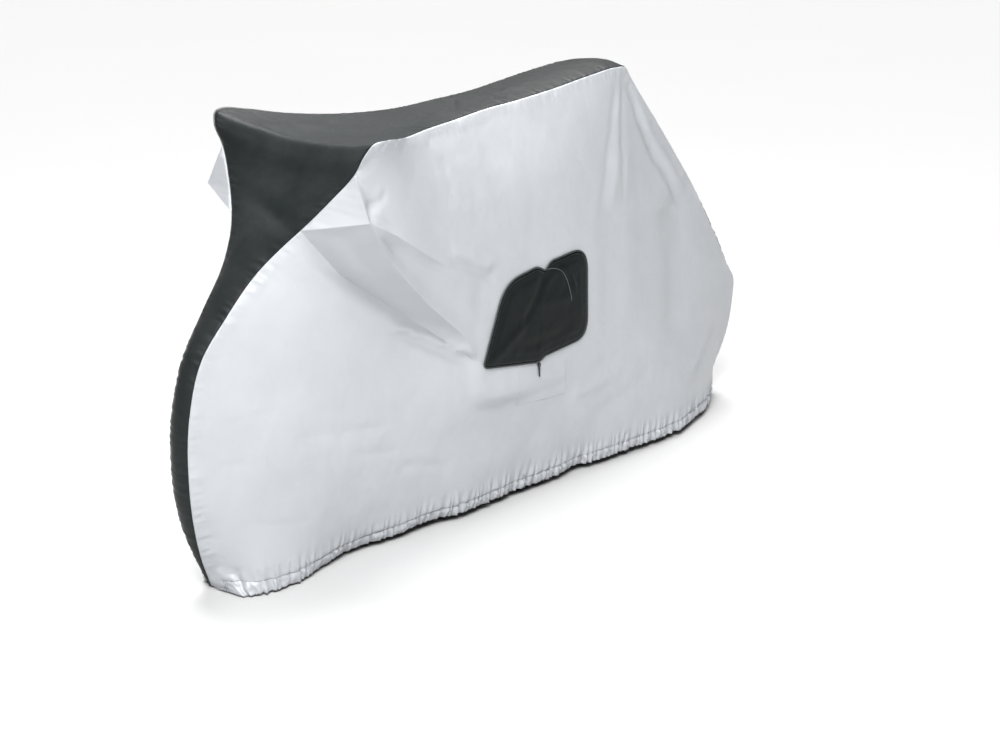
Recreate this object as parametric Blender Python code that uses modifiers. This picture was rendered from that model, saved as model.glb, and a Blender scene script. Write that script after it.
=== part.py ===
"""Fitted bicycle cover, in the shape in which it hangs over a bicycle that is left out.

Two silver side panels meet a dark centre gusset that runs from the front hem, over the handlebar
and the saddle, down to the rear hem. A dark pouch panel with a zip is sewn to the near side.

Metres, +Z up. +X runs to the bicycle's rear, -Y is the near side, and z = 0 is the lowest hem.
"""
import bmesh
import bpy
import numpy as np
from mathutils import Matrix, Vector
from mathutils.geometry import delaunay_2d_cdt

# ---------------------------------------------------------------- driving dimensions
SHEET = 0.0015          # thickness of the coated cloth with its seam allowances
SEAM_GAP = 0.0003       # clearance between neighbouring pieces
POUCH_SHEET = 0.0020    # the pouch panel is two layers of cloth
POUCH_REST = 0.0004     # clearance between the pouch panel and the cloth behind it
PIPING_RADIUS = 0.0020  # zip tape rolled round the pouch's edge
PIPING_FACETS = 2       # bevel resolution of the piping
PLAIN_SOFTNESS = 0.045  # the cloth between its creases is rounded over this distance
CREASE_REACH = 0.050    # a crease keeps the cloth flat on both sides this far

CELL = 0.034            # spacing of a side panel's points
SEAM_CELL = 0.036       # spacing of points along the seams and the hem
CREASE_CELL = 0.024     # spacing of points along a crease
CELLS_ACROSS = 8        # cells of the gusset from seam to seam
ROW_RISE = 0.866        # rows of inner points are this share of CELL apart
EDGE_CLEAR = 0.6        # inner points stay this share of CELL away from rims and creases
TOLERANCE = 1e-6        # for places on the edge of a triangle
NO_AREA = 1e-9          # triangles in the net smaller than this are left out
MITRE_LIMIT = 1.5       # the longest mitre at a seam, as a share of the thickness

# The gusset, from the front hem round to the rear hem. x and z place its two seams, which lie
# half a width to each side of the middle plane. mid_dx and mid_dz carry its middle line off them:
# outward on the tyres, and down where the cloth sags between the ends of the handlebar.
# Columns: x, z, half width, mid_dx, mid_dz.
GUSSET_FRONT = {
    "front hem": (-0.838, 0.000, 0.006, 0.000, 0.000),
    "front low": (-0.862, 0.070, 0.012, -0.004, -0.001),
    "tyre low": (-0.885, 0.170, 0.025, -0.010, -0.002),
    "tyre front": (-0.891, 0.260, 0.029, -0.012, 0.000),
    "tyre high": (-0.880, 0.390, 0.030, -0.012, 0.003),
    "tyre top": (-0.843, 0.500, 0.030, -0.010, 0.006),
    "nose low": (-0.785, 0.578, 0.039, -0.007, 0.006),
    "nose": (-0.720, 0.655, 0.054, -0.009, 0.007),
    "nose high": (-0.662, 0.724, 0.096, -0.010, 0.007),
    "brow foot": (-0.648, 0.743, 0.112, -0.008, 0.004),
    "brow": (-0.613, 0.804, 0.164, 0.001, -0.009),
    "brow head": (-0.589, 0.861, 0.212, 0.011, -0.026),
    "bar front": (-0.586, 0.905, 0.243, 0.030, -0.037),
    "bar corner": (-0.575, 0.924, 0.254, 0.036, -0.037),
}
GUSSET_TOP = {
    "bar top": (-0.545, 0.929, 0.262, 0.027, -0.040),
    "bar rear": (-0.505, 0.924, 0.247, 0.025, -0.034),
    "neck wide": (-0.435, 0.912, 0.197, 0.015, -0.019),
    "neck": (-0.320, 0.904, 0.132, 0.004, -0.004),
    "waist": (-0.200, 0.905, 0.097, 0.000, 0.002),
    "waist rear": (-0.100, 0.913, 0.085, 0.000, 0.004),
    "top middle": (0.000, 0.919, 0.082, 0.000, 0.006),
    "saddle nose": (0.120, 0.932, 0.085, 0.000, 0.010),
    "saddle": (0.250, 0.948, 0.083, 0.000, 0.012),
    "saddle wide": (0.340, 0.954, 0.076, 0.001, 0.012),
    "saddle rear": (0.392, 0.946, 0.066, 0.005, 0.010),
    "saddle corner": (0.412, 0.925, 0.062, 0.009, 0.005),
}
GUSSET_REAR = {
    "rear slope": (0.450, 0.884, 0.059, 0.003, 0.002),
    "slope middle": (0.525, 0.807, 0.052, 0.000, 0.000),
    "slope low": (0.620, 0.705, 0.045, 0.001, 0.001),
    "wheel top": (0.722, 0.589, 0.037, 0.009, 0.007),
    "wheel high": (0.785, 0.500, 0.036, 0.018, 0.012),
    "wheel rear": (0.832, 0.430, 0.038, 0.018, 0.010),
    "rear corner": (0.888, 0.330, 0.045, 0.011, 0.004),
    "rear middle": (0.897, 0.262, 0.044, 0.010, 0.000),
    "rear low": (0.890, 0.170, 0.035, 0.009, -0.001),
    "rear tuck": (0.868, 0.070, 0.014, 0.004, -0.001),
    "rear hem": (0.846, 0.010, 0.006, 0.000, 0.000),
}

# The hem, from the front tuck to the rear tuck. near_out and far_out are the near and the far
# panel's distances from the middle plane. The elastic draws the hem round the front wheel, closer
# on the far side, and lets it out over the cranks.
# Columns: x, near_out, far_out, z.
HEM = {
    "front tuck": (-0.838, 0.006, 0.006, 0.000),
    "front fold": (-0.836, 0.045, 0.020, 0.000),
    "front corner": (-0.828, 0.085, 0.032, 0.000),
    "front side": (-0.795, 0.116, 0.050, 0.001),
    "fork": (-0.700, 0.125, 0.080, 0.002),
    "wheel rear": (-0.550, 0.103, 0.098, 0.006),
    "frame front": (-0.400, 0.118, 0.116, 0.010),
    "crank front": (-0.200, 0.138, 0.134, 0.012),
    "crank": (0.030, 0.138, 0.146, 0.012),
    "stand front": (0.180, 0.142, 0.148, 0.012),
    "stand": (0.420, 0.165, 0.150, 0.012),
    "stand rear": (0.550, 0.160, 0.138, 0.012),
    "rear side": (0.660, 0.130, 0.110, 0.012),
    "rear corner": (0.770, 0.076, 0.066, 0.012),
    "rear fold": (0.828, 0.030, 0.028, 0.010),
    "rear tuck": (0.846, 0.006, 0.006, 0.010),
}
MIDDLE = (0.0, 0.0, 0.45)  # a place inside the cover, behind every part of the gusset
HEM_WAVE = 0.004        # how far the gathered hem wanders in and out
HEM_WAVE_PITCH = 0.230  # length of its main wave
HEM_WAVE_START = {"near": 0.7, "far": 2.3}  # where the wave starts, in radians
SECOND_WAVE = 0.6       # height of its second wave, as a share of the main one's
SECOND_TURNS = 1.45     # turns of the second wave for each of the main one's
HEM_EASE = 0.5          # the waves die away towards the tucks by this power of a half sine

# The points that hold each side panel out from the middle plane, between its rims: how far the
# near and the far panel stand off there. "pole" is where the handlebar's end holds them.
# Columns: x, z, near_out, far_out.
HOLDS = {
    "pole": (-0.597, 0.774, 0.262, 0.262),
    "ridge a": (-0.511, 0.670, 0.228, 0.222),
    "ridge b": (-0.385, 0.553, 0.194, 0.188),
    "ridge c": (-0.263, 0.455, 0.172, 0.166),
    "valley a": (-0.561, 0.639, 0.122, 0.132),
    "valley b": (-0.409, 0.528, 0.132, 0.140),
    "valley c": (-0.269, 0.424, 0.148, 0.148),
    "rib a": (-0.486, 0.718, 0.230, 0.222),
    "rib b": (-0.392, 0.663, 0.206, 0.198),
    "rib c": (-0.301, 0.609, 0.187, 0.180),
    "rib end": (-0.222, 0.561, 0.171, 0.165),
    "dimple": (-0.545, 0.815, 0.232, 0.236),
    "shoulder": (-0.440, 0.800, 0.205, 0.203),
    "upper front": (-0.300, 0.760, 0.174, 0.172),
    "upper middle": (-0.120, 0.720, 0.152, 0.148),
    "upper rear": (0.080, 0.740, 0.132, 0.128),
    "saddle side": (0.280, 0.760, 0.108, 0.106),
    "low nose": (-0.760, 0.440, 0.066, 0.060),
    "wheel high": (-0.665, 0.600, 0.098, 0.094),
    "wheel front": (-0.780, 0.220, 0.084, 0.062),
    "axle": (-0.620, 0.340, 0.108, 0.098),
    "wheel low": (-0.600, 0.150, 0.112, 0.100),
    "down tube": (-0.430, 0.350, 0.126, 0.122),
    "low front": (-0.360, 0.160, 0.124, 0.122),
    "chain ring": (-0.150, 0.200, 0.144, 0.138),
    "pedal": (0.060, 0.190, 0.150, 0.154),
    "chain": (0.300, 0.220, 0.150, 0.148),
    "rear axle": (0.500, 0.300, 0.138, 0.126),
    "rear low": (0.520, 0.140, 0.152, 0.132),
    "rear stay": (0.440, 0.500, 0.122, 0.114),
    "rear slope": (0.440, 0.700, 0.090, 0.088),
    "rear wheel": (0.650, 0.440, 0.084, 0.078),
    "tail": (0.760, 0.260, 0.082, 0.076),
}
# Crisp folds from one of these points to the next. The brow's foot and head and the bar's corner
# are places on the gusset's seam.
SEAM_ENDS = {"brow foot": (-0.648, 0.743), "brow head": (-0.589, 0.861), "bar corner": (-0.572, 0.923)}
CREASES = (
    ("pole", "ridge a", "ridge b", "ridge c", "pouch lower front"),
    ("brow foot", "valley a", "valley b", "valley c", "pouch lower front"),
    ("pole", "rib a", "rib b", "rib c", "rib end"),
    ("brow foot", "pole", "brow head"),
    ("pole", "bar corner"),
)

# The pouch lies in a plane. The plane's distance from the middle plane at POUCH_CENTRE (x, z) is
# POUCH_OUT, and it leans by POUCH_LEAN_X and POUCH_LEAN_Z for each metre along X and Z.
POUCH_CENTRE = (0.010, 0.440)
POUCH_OUT = 0.150
POUCH_LEAN_X = -0.060
POUCH_LEAN_Z = -0.055
POUCH_FLAT = {          # the cloth is flat this far to each side of the pouch's centre
    "front": -0.200,
    "rear": 0.200,
    "low": -0.158,
    "high": 0.126,
}
POUCH_FADE = 1.25       # the flat has faded out at this many times its size
POUCH_SQUARE = 6        # how square the flat's outline is
POUCH_FRAME = {         # places round the pouch where the side panels lie in its plane, as x and z
    "pouch lower front": (-0.188, 0.352),
    "pouch upper front": (-0.130, 0.575),
    "pouch upper rear": (0.205, 0.575),
    "pouch lower rear": (0.205, 0.300),
    "pouch zip": (-0.006, 0.280),
}
# The pouch panel's corners in its plane, from its centre, with the round there. They run
# clockwise from the upper front corner.
# Columns: across, up, round.
POUCH_CORNERS = {
    "upper front": (-0.122, 0.092, 0.050),
    "notch front": (-0.010, 0.107, 0.012),
    "notch": (0.018, 0.092, 0.006),
    "notch rear": (0.040, 0.110, 0.012),
    "upper rear": (0.172, 0.120, 0.055),
    "lower rear": (0.168, -0.102, 0.050),
    "zip": (-0.016, -0.113, 0.020),
    "lower front": (-0.200, -0.091, 0.020),
}
POUCH_STEPS = 4         # outline points to each rounded corner

# The zip pull hangs at the panel's "zip" corner. Sizes run across, up and out of the plane.
SLIDER_SIZE = (0.0080, 0.0090, 0.0045)
SLIDER_EDGE = 0.0010
PULLER_SIZE = (0.0060, 0.0240, 0.0020)
PULLER_TAPER = 0.60     # the puller's lower end as a share of its width
PULLER_EDGE = 0.0006
EDGE_SEGMENTS = 2

SILVER = (0.62, 0.65, 0.70)
CHARCOAL = (0.030, 0.034, 0.035)
BLACK = (0.020, 0.024, 0.024)
TAPE = (0.045, 0.050, 0.050)
PULL = (0.060, 0.062, 0.064)


# ---------------------------------------------------------------- curves and tables
def columns(table):
    """A table's rows as an array."""
    return np.array(list(table.values()), float)


def run_length(points):
    steps = np.linalg.norm(np.diff(points, axis=0), axis=1)
    return np.concatenate(([0.0], np.cumsum(steps)))


def smooth_curve(knots, rows, at):
    """A smooth curve through rows at the given knots, read at the places in at."""
    slopes = np.gradient(rows, knots, axis=0)
    index = np.clip(np.searchsorted(knots, at, side="right") - 1, 0, len(knots) - 2)
    span = (knots[index + 1] - knots[index])[:, None]
    t = (np.asarray(at)[:, None] - knots[index][:, None]) / span
    start = (2 * t**3 - 3 * t**2 + 1) * rows[index] + (t**3 - 2 * t**2 + t) * span * slopes[index]
    end = (3 * t**2 - 2 * t**3) * rows[index + 1] + (t**3 - t**2) * span * slopes[index + 1]
    return start + end


def smooth_step(value):
    t = np.clip(value, 0.0, 1.0)
    return t * t * (3.0 - 2.0 * t)


def even_places(length, spacing):
    """Places along a length, evenly spaced by about the given distance, with both ends."""
    return np.linspace(0.0, length, max(2, int(round(length / spacing))) + 1)


# ---------------------------------------------------------------- the gusset's stations
def gusset_stations():
    """The gusset's rows read evenly, as front, top and rear runs that share their end rows."""
    front, top, rear = columns(GUSSET_FRONT), columns(GUSSET_TOP), columns(GUSSET_REAR)
    rows = np.vstack((front, top, rear))
    knots = run_length(rows[:, :3])
    bar, saddle = knots[len(front) - 1], knots[len(front) + len(top) - 1]
    runs = (
        even_places(bar, SEAM_CELL),
        bar + even_places(saddle - bar, SEAM_CELL),
        saddle + even_places(knots[-1] - saddle, SEAM_CELL),
    )
    return np.vstack([smooth_curve(knots, rows, run)[first:] for run, first in zip(runs, (0, 1, 1))])


def seam_points(stations, side):
    return np.stack((stations[:, 0], side * stations[:, 2], stations[:, 1]), axis=1)


def gusset_points():
    """Rows of points across the gusset, from the far seam to the near seam."""
    stations = gusset_stations()
    across = np.linspace(1.0, -1.0, CELLS_ACROSS + 1)
    crown = 1.0 - across**2
    x = stations[:, 0:1] + crown * stations[:, 3:4]
    z = stations[:, 1:2] + crown * stations[:, 4:5]
    y = across * stations[:, 2:3]
    return np.stack((x, y, z), axis=2)


def gusset_sheet():
    """The gusset's points with its triangles, and the places of its seam and end points."""
    rows = gusset_points()
    count, wide = rows.shape[:2]
    place = np.arange(count * wide).reshape(count, wide)
    low, right, up, far = place[:-1, :-1], place[:-1, 1:], place[1:, :-1], place[1:, 1:]
    first = np.stack((low, right, up), axis=2).reshape(-1, 3)
    second = np.stack((up, right, far), axis=2).reshape(-1, 3)
    rim = np.concatenate((place[:, 0], place[-1, 1:-1], place[::-1, -1], place[0, -2:0:-1]))
    return rows.reshape(-1, 3), np.vstack((first, second)), rim, place


# ---------------------------------------------------------------- the side panels
def hem_curve(side):
    """The hem from the rear tuck to the front tuck, without its two ends."""
    rows = columns(HEM)[:, (0, 1 if side < 0 else 2, 3)]
    knots = run_length(rows)
    at = even_places(knots[-1], SEAM_CELL)
    curve = smooth_curve(knots, rows, at)
    ease = np.sin(np.pi * at / knots[-1]) ** HEM_EASE
    turns = 2.0 * np.pi * at / HEM_WAVE_PITCH
    wave = np.sin(turns + HEM_WAVE_START["near" if side < 0 else "far"])
    curve[:, 1] += HEM_WAVE * ease * (wave + SECOND_WAVE * np.sin(SECOND_TURNS * turns))
    return np.stack((curve[:, 0], side * curve[:, 1], curve[:, 2]), axis=1)[-2:0:-1]


def panel_rim(side):
    """The points round a panel: its seam from the front hem to the rear hem, then its hem."""
    seam = seam_points(gusset_stations(), side)
    return np.vstack((seam, hem_curve(side))), len(seam)


def held_net(rim, side):
    """The rim and the held points as (x, z, out), the flat triangles between them, and the creases."""
    spots = [(x, z, side * y) for x, y, z in rim]
    names = {}
    for name, (x, z, near_out, far_out) in HOLDS.items():
        names[name] = len(spots)
        spots.append((x, z, near_out if side < 0 else far_out))
    for name, (x, z) in POUCH_FRAME.items():
        names[name] = len(spots)
        spots.append((x, z, pouch_plane(x, z)))
    for name, place in SEAM_ENDS.items():
        names[name] = int(np.argmin([np.hypot(x - place[0], z - place[1]) for x, z, _ in spots[: len(rim)]]))
    edges = [(names[a], names[b]) for crease in CREASES for a, b in zip(crease, crease[1:])]
    flat = [Vector(spot[:2]) for spot in spots]
    points, _, faces, origins, _, _ = delaunay_2d_cdt(flat, edges, [], 0, TOLERANCE)
    net = np.array([(point.x, point.y, spots[origin[0]][2]) for point, origin in zip(points, origins)])
    creases = [(spots[a][:2], spots[b][:2]) for a, b in edges]
    return net, np.array(faces), np.array(creases)


def distance_to_lines(flat, lines):
    """Each flat point's distance to the nearest of some straight lines with two ends."""
    nearest = np.full(len(flat), np.inf)
    for start, end in lines:
        along = end - start
        share = np.clip(((flat - start) @ along) / (along @ along), 0.0, 1.0)
        nearest = np.minimum(nearest, np.linalg.norm(flat - start - share[:, None] * along, axis=1))
    return nearest


def panel_layout(rim, creases):
    """Flat points that fill the rim in x and z, with their triangles. Edges follow the creases."""
    edge = rim[:, ::2]
    around = np.stack((edge, np.roll(edge, -1, axis=0)), axis=1)
    low, high = edge.min(axis=0), edge.max(axis=0)
    rows = np.arange(low[1], high[1], CELL * ROW_RISE)
    lattice = [
        (x, z) for k, z in enumerate(rows) for x in np.arange(low[0] + 0.5 * CELL * (k % 2), high[0], CELL)
    ]
    lattice = np.array(lattice)
    gap = np.minimum(distance_to_lines(lattice, around), distance_to_lines(lattice, creases))
    flat, edges = list(edge), [(k, (k + 1) % len(edge)) for k in range(len(edge))]
    for start, end in creases:
        shares = even_places(np.linalg.norm(end - start), CREASE_CELL)
        line = start + (end - start) * (shares / shares[-1])[:, None]
        edges += [(len(flat) + k, len(flat) + k + 1) for k in range(len(line) - 1)]
        flat += list(line)
    flat += list(lattice[gap > EDGE_CLEAR * CELL])
    flat = [Vector(point) for point in flat]
    points, _, faces, origins, _, _ = delaunay_2d_cdt(flat, edges, [], 1, TOLERANCE)
    faces = np.array(faces)
    used = np.unique(faces)
    order = used[np.argsort([min(origins[k]) for k in used], kind="stable")]
    renumber = np.zeros(len(points), int)
    renumber[order] = np.arange(len(order))
    return np.array([tuple(points[k]) for k in order]), renumber[faces]


def soften(values, faces, fixed, reach):
    """Blurs values over a mesh of triangles over about the given distance. The first ones are fixed."""
    pairs = np.vstack((faces[:, (0, 1)], faces[:, (1, 2)], faces[:, (2, 0)]))
    pairs = np.vstack((pairs, pairs[:, ::-1]))
    count = np.bincount(pairs[:, 0], minlength=len(values))
    soft = values.copy()
    for _ in range(int(round(2.0 * (reach / CELL) ** 2))):
        around = np.bincount(pairs[:, 0], weights=soft[pairs[:, 1]], minlength=len(values)) / count
        soft[fixed:] = around[fixed:]
    return soft


def across_net(flat, net, faces):
    """The net's out at each flat point."""
    out = np.zeros(len(flat))
    for a, b, c in net[faces]:
        area = (b[0] - a[0]) * (c[1] - a[1]) - (c[0] - a[0]) * (b[1] - a[1])
        if abs(area) < NO_AREA:
            continue
        to_b = ((flat[:, 0] - a[0]) * (c[1] - a[1]) - (c[0] - a[0]) * (flat[:, 1] - a[1])) / area
        to_c = ((b[0] - a[0]) * (flat[:, 1] - a[1]) - (flat[:, 0] - a[0]) * (b[1] - a[1])) / area
        inside = (to_b > -TOLERANCE) & (to_c > -TOLERANCE) & (to_b + to_c < 1 + TOLERANCE)
        out[inside] = (a[2] + to_b * (b[2] - a[2]) + to_c * (c[2] - a[2]))[inside]
    return out


def pouch_plane(x, z):
    """How far the flat cloth under the pouch stands off the middle plane."""
    return POUCH_OUT + POUCH_LEAN_X * (x - POUCH_CENTRE[0]) + POUCH_LEAN_Z * (z - POUCH_CENTRE[1])


def pouch_flat(x, z):
    """1 where the cloth lies in the pouch's plane, fading to 0 round it."""
    across = (x - POUCH_CENTRE[0]) / np.where(x < POUCH_CENTRE[0], POUCH_FLAT["front"], POUCH_FLAT["rear"])
    up = (z - POUCH_CENTRE[1]) / np.where(z < POUCH_CENTRE[1], POUCH_FLAT["low"], POUCH_FLAT["high"])
    reach = (across**POUCH_SQUARE + up**POUCH_SQUARE) ** (1 / POUCH_SQUARE)
    return smooth_step((POUCH_FADE - reach) / (POUCH_FADE - 1.0))


def panel_sheet(side):
    """A side panel's points with its triangles. The first points run round its rim."""
    rim, seam_count = panel_rim(side)
    net, net_faces, creases = held_net(rim, side)
    flat, faces = panel_layout(rim, creases)
    taut = across_net(flat, net, net_faces)
    taut[: len(rim)] = side * rim[:, 1]
    plain = smooth_step(distance_to_lines(flat, creases) / CREASE_REACH)
    out = taut * (1 - plain) + soften(taut, faces, len(rim), PLAIN_SOFTNESS) * plain
    if side < 0:
        level = pouch_flat(flat[:, 0], flat[:, 1])
        out = out * (1 - level) + pouch_plane(flat[:, 0], flat[:, 1]) * level
    points = np.stack((flat[:, 0], side * out, flat[:, 1]), axis=1)
    points[: len(rim)] = rim
    return points, faces, np.arange(len(rim)), seam_count


# ---------------------------------------------------------------- thickness
def point_normals(points, faces, outward):
    """Unit normals at a sheet's points, turned to the side that outward points to."""
    a, b, c = points[faces[:, 0]], points[faces[:, 1]], points[faces[:, 2]]
    turned = np.cross(b - a, c - a)
    turned *= np.sign(np.sum(turned * outward[faces[:, 0]], axis=1, keepdims=True))
    normals = np.zeros_like(points)
    for corner in range(3):
        np.add.at(normals, faces[:, corner], turned)
    return normals / np.linalg.norm(normals, axis=1, keepdims=True)


def mitre(first, second):
    """One direction of thickness for both sides of a seam, long enough to keep the thickness."""
    shared = first + second
    length = np.linalg.norm(shared, axis=1, keepdims=True)
    return shared / length * np.minimum(2.0 / length, MITRE_LIMIT)


def draw_back(points, faces, seam):
    """Moves a sheet's seam points half a gap into the sheet, square to the seam."""
    moved = points.copy()
    rim = points[seam]
    along = np.gradient(rim, axis=0)
    along /= np.linalg.norm(along, axis=1, keepdims=True)
    middles = points[faces].mean(axis=1)
    inward = np.zeros_like(points)
    for corner in range(3):
        np.add.at(inward, faces[:, corner], middles - points[faces[:, corner]])
    inward = inward[seam]
    inward -= np.sum(inward * along, axis=1, keepdims=True) * along
    inward /= np.linalg.norm(inward, axis=1, keepdims=True)
    moved[seam] += 0.5 * SEAM_GAP * inward
    return moved


# ---------------------------------------------------------------- objects
def clear_scene():
    for item in list(bpy.data.objects):
        bpy.data.objects.remove(item, do_unlink=True)


def make_collection(name):
    group = bpy.data.collections.new(name)
    bpy.context.scene.collection.children.link(group)
    return group


def make_material(name, colour, roughness, metallic):
    material = bpy.data.materials.new(name)
    material.use_nodes = True
    shader = material.node_tree.nodes["Principled BSDF"]
    shader.inputs["Base Color"].default_value = (*colour, 1.0)
    shader.inputs["Roughness"].default_value = roughness
    shader.inputs["Metallic"].default_value = metallic
    return material


def add_object(name, shape, group, material):
    item = bpy.data.objects.new(name, shape)
    group.objects.link(item)
    shape.materials.append(material)
    return item


def sheet_object(name, outer, inner, faces, rim, group, material):
    """A closed sheet between an outer and an inner layer of points."""
    mesh = bpy.data.meshes.new(name)
    shape = bmesh.new()
    layers = [[shape.verts.new(point) for point in layer] for layer in (outer, inner)]
    for layer in layers:
        for face in faces:
            shape.faces.new([layer[place] for place in face])
    # Both sheets at a seam split their twisted rim the same way, so that the rims don't cross.
    for low, high in np.sort(np.stack((rim, np.roll(rim, -1)), axis=1), axis=1):
        shape.faces.new((layers[0][low], layers[0][high], layers[1][high]))
        shape.faces.new((layers[0][low], layers[1][high], layers[1][low]))
    bmesh.ops.recalc_face_normals(shape, faces=shape.faces)
    shape.to_mesh(mesh)
    shape.free()
    mesh.shade_smooth()
    return add_object(name, mesh, group, material)


def make_sheets(group, silver, charcoal):
    """The gusset and the side panels, which share their directions of thickness at the seams."""
    gusset, gusset_faces, gusset_rim, place = gusset_sheet()
    gusset_normals = point_normals(gusset, gusset_faces, gusset - np.array(MIDDLE))
    gusset_seams = []
    for name, side in (("near_side_panel", -1), ("far_side_panel", 1)):
        points, faces, rim, seam_count = panel_sheet(side)
        normals = point_normals(points, faces, np.tile((0.0, side, 0.0), (len(points), 1)))
        panel_seam, gusset_seam = rim[:seam_count], place[:, -1 if side < 0 else 0]
        shared = mitre(gusset_normals[gusset_seam], normals[panel_seam])
        normals[panel_seam] = gusset_normals[gusset_seam] = shared
        gusset_seams.append(gusset_seam)
        layers = [draw_back(layer, faces, panel_seam) for layer in (points, points - SHEET * normals)]
        sheet_object(name, *layers, faces, rim, group, silver)
    layers = [gusset, gusset - SHEET * gusset_normals]
    for seam in gusset_seams:
        layers = [draw_back(layer, gusset_faces, seam) for layer in layers]
    sheet_object("centre_gusset", *layers, gusset_faces, gusset_rim, group, charcoal)


# ---------------------------------------------------------------- the pouch
def rounded_outline(corners):
    """A closed outline in x and z with its corners rounded by short curves."""
    outline = []
    count = len(corners)
    for index, (x, z, radius) in enumerate(corners):
        corner = np.array((x, z))
        before = np.array(corners[index - 1][:2]) - corner
        after = np.array(corners[(index + 1) % count][:2]) - corner
        start = corner + before / np.linalg.norm(before) * radius
        end = corner + after / np.linalg.norm(after) * radius
        for t in np.linspace(0.0, 1.0, POUCH_STEPS):
            outline.append((1 - t) ** 2 * start + 2 * t * (1 - t) * corner + t**2 * end)
    return np.array(outline)


def offset_outline(outline, distance):
    """A closed clockwise outline moved outwards."""
    ahead = np.roll(outline, -1, axis=0) - outline
    ahead /= np.linalg.norm(ahead, axis=1, keepdims=True)
    behind = np.roll(ahead, 1, axis=0)
    middle = ahead + behind
    middle /= np.linalg.norm(middle, axis=1, keepdims=True)
    outward = np.stack((-middle[:, 1], middle[:, 0]), axis=1)
    return outline + distance * outward


def make_pouch_frame(group):
    """An empty in the pouch's plane, with X along it to the rear, Y up it and Z out of it."""
    frame = bpy.data.objects.new("pouch_frame", None)
    group.objects.link(frame)
    out_of_it = Vector((-POUCH_LEAN_X, -1.0, -POUCH_LEAN_Z)).normalized()
    along_it = Vector((1.0, -POUCH_LEAN_X, 0.0)).normalized()
    turn = Matrix((along_it, out_of_it.cross(along_it), out_of_it)).transposed()
    frame.location = (POUCH_CENTRE[0], -POUCH_OUT, POUCH_CENTRE[1])
    frame.rotation_euler = turn.to_euler()
    return frame


def outline_curve(name, outline, dimensions):
    curve = bpy.data.curves.new(name, "CURVE")
    curve.dimensions = dimensions
    spline = curve.splines.new("POLY")
    spline.points.add(len(outline) - 1)
    for point, (across, up) in zip(spline.points, outline):
        point.co = (across, up, 0.0, 1.0)
    spline.use_cyclic_u = True
    return curve


def make_pouch_panel(group, frame, outline, material):
    curve = outline_curve("pouch_panel", outline, "2D")
    curve.fill_mode = "BOTH"
    curve.extrude = 0.5 * POUCH_SHEET
    panel = add_object("pouch_panel", curve, group, material)
    panel.parent = frame
    panel.location = (0.0, 0.0, POUCH_REST + 0.5 * POUCH_SHEET)


def make_piping(group, frame, outline, material):
    curve = outline_curve("pouch_piping", offset_outline(outline, PIPING_RADIUS + SEAM_GAP), "3D")
    curve.bevel_depth = PIPING_RADIUS
    curve.bevel_resolution = PIPING_FACETS
    piping = add_object("pouch_piping", curve, group, material)
    piping.parent = frame
    piping.location = (0.0, 0.0, POUCH_REST + PIPING_RADIUS)


def rounded_box(name, size, edge, taper, group, material):
    """A box with rounded edges whose lower end is narrower by the given share."""
    mesh = bpy.data.meshes.new(name)
    shape = bmesh.new()
    bmesh.ops.create_cube(shape, size=1.0)
    for corner in shape.verts:
        width = taper if corner.co.y < 0.0 else 1.0
        corner.co = (corner.co.x * size[0] * width, corner.co.y * size[1], corner.co.z * size[2])
    shape.to_mesh(mesh)
    shape.free()
    box = add_object(name, mesh, group, material)
    bevel = box.modifiers.new("rounded edges", "BEVEL")
    bevel.width = edge
    bevel.segments = EDGE_SEGMENTS
    return box


def make_zip_pull(group, frame, outline, material):
    """The slider just below the piping's lowest place near the zip corner, and its puller."""
    corner = POUCH_CORNERS["zip"][0]
    near = outline[np.abs(outline[:, 0] - corner) < SLIDER_SIZE[0]]
    top = near[:, 1].min() - 2.0 * PIPING_RADIUS - 2.0 * SEAM_GAP
    slider = rounded_box("zip_slider", SLIDER_SIZE, SLIDER_EDGE, 1.0, group, material)
    slider.parent = frame
    slider.location = (corner, top - 0.5 * SLIDER_SIZE[1], POUCH_REST + 0.5 * SLIDER_SIZE[2])
    puller = rounded_box("zip_puller", PULLER_SIZE, PULLER_EDGE, PULLER_TAPER, group, material)
    puller.parent = frame
    drop = SLIDER_SIZE[1] + SEAM_GAP + 0.5 * PULLER_SIZE[1]
    puller.location = (corner, top - drop, POUCH_REST + 0.5 * SLIDER_SIZE[2])


def make_pouch(group):
    outline = rounded_outline(list(POUCH_CORNERS.values()))
    frame = make_pouch_frame(group)
    make_pouch_panel(group, frame, outline, make_material("pouch_cloth", BLACK, 0.65, 0.0))
    make_piping(group, frame, outline, make_material("zip_tape", TAPE, 0.60, 0.0))
    make_zip_pull(group, frame, outline, make_material("zip_pull", PULL, 0.35, 0.5))


def main():
    clear_scene()
    group = make_collection("bicycle_cover")
    silver = make_material("silver_cloth", SILVER, 0.45, 0.35)
    charcoal = make_material("charcoal_cloth", CHARCOAL, 0.60, 0.0)
    make_sheets(group, silver, charcoal)
    make_pouch(group)


main()
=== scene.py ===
"""The fitted bicycle cover's looks: its coated cloth, gathers, folds, stitching and zip pouch."""
import math

import bmesh
import bpy
import numpy as np
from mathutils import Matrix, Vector
from mathutils.bvhtree import BVHTree
from mathutils.geometry import delaunay_2d_cdt
from mathutils.noise import fractal


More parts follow.
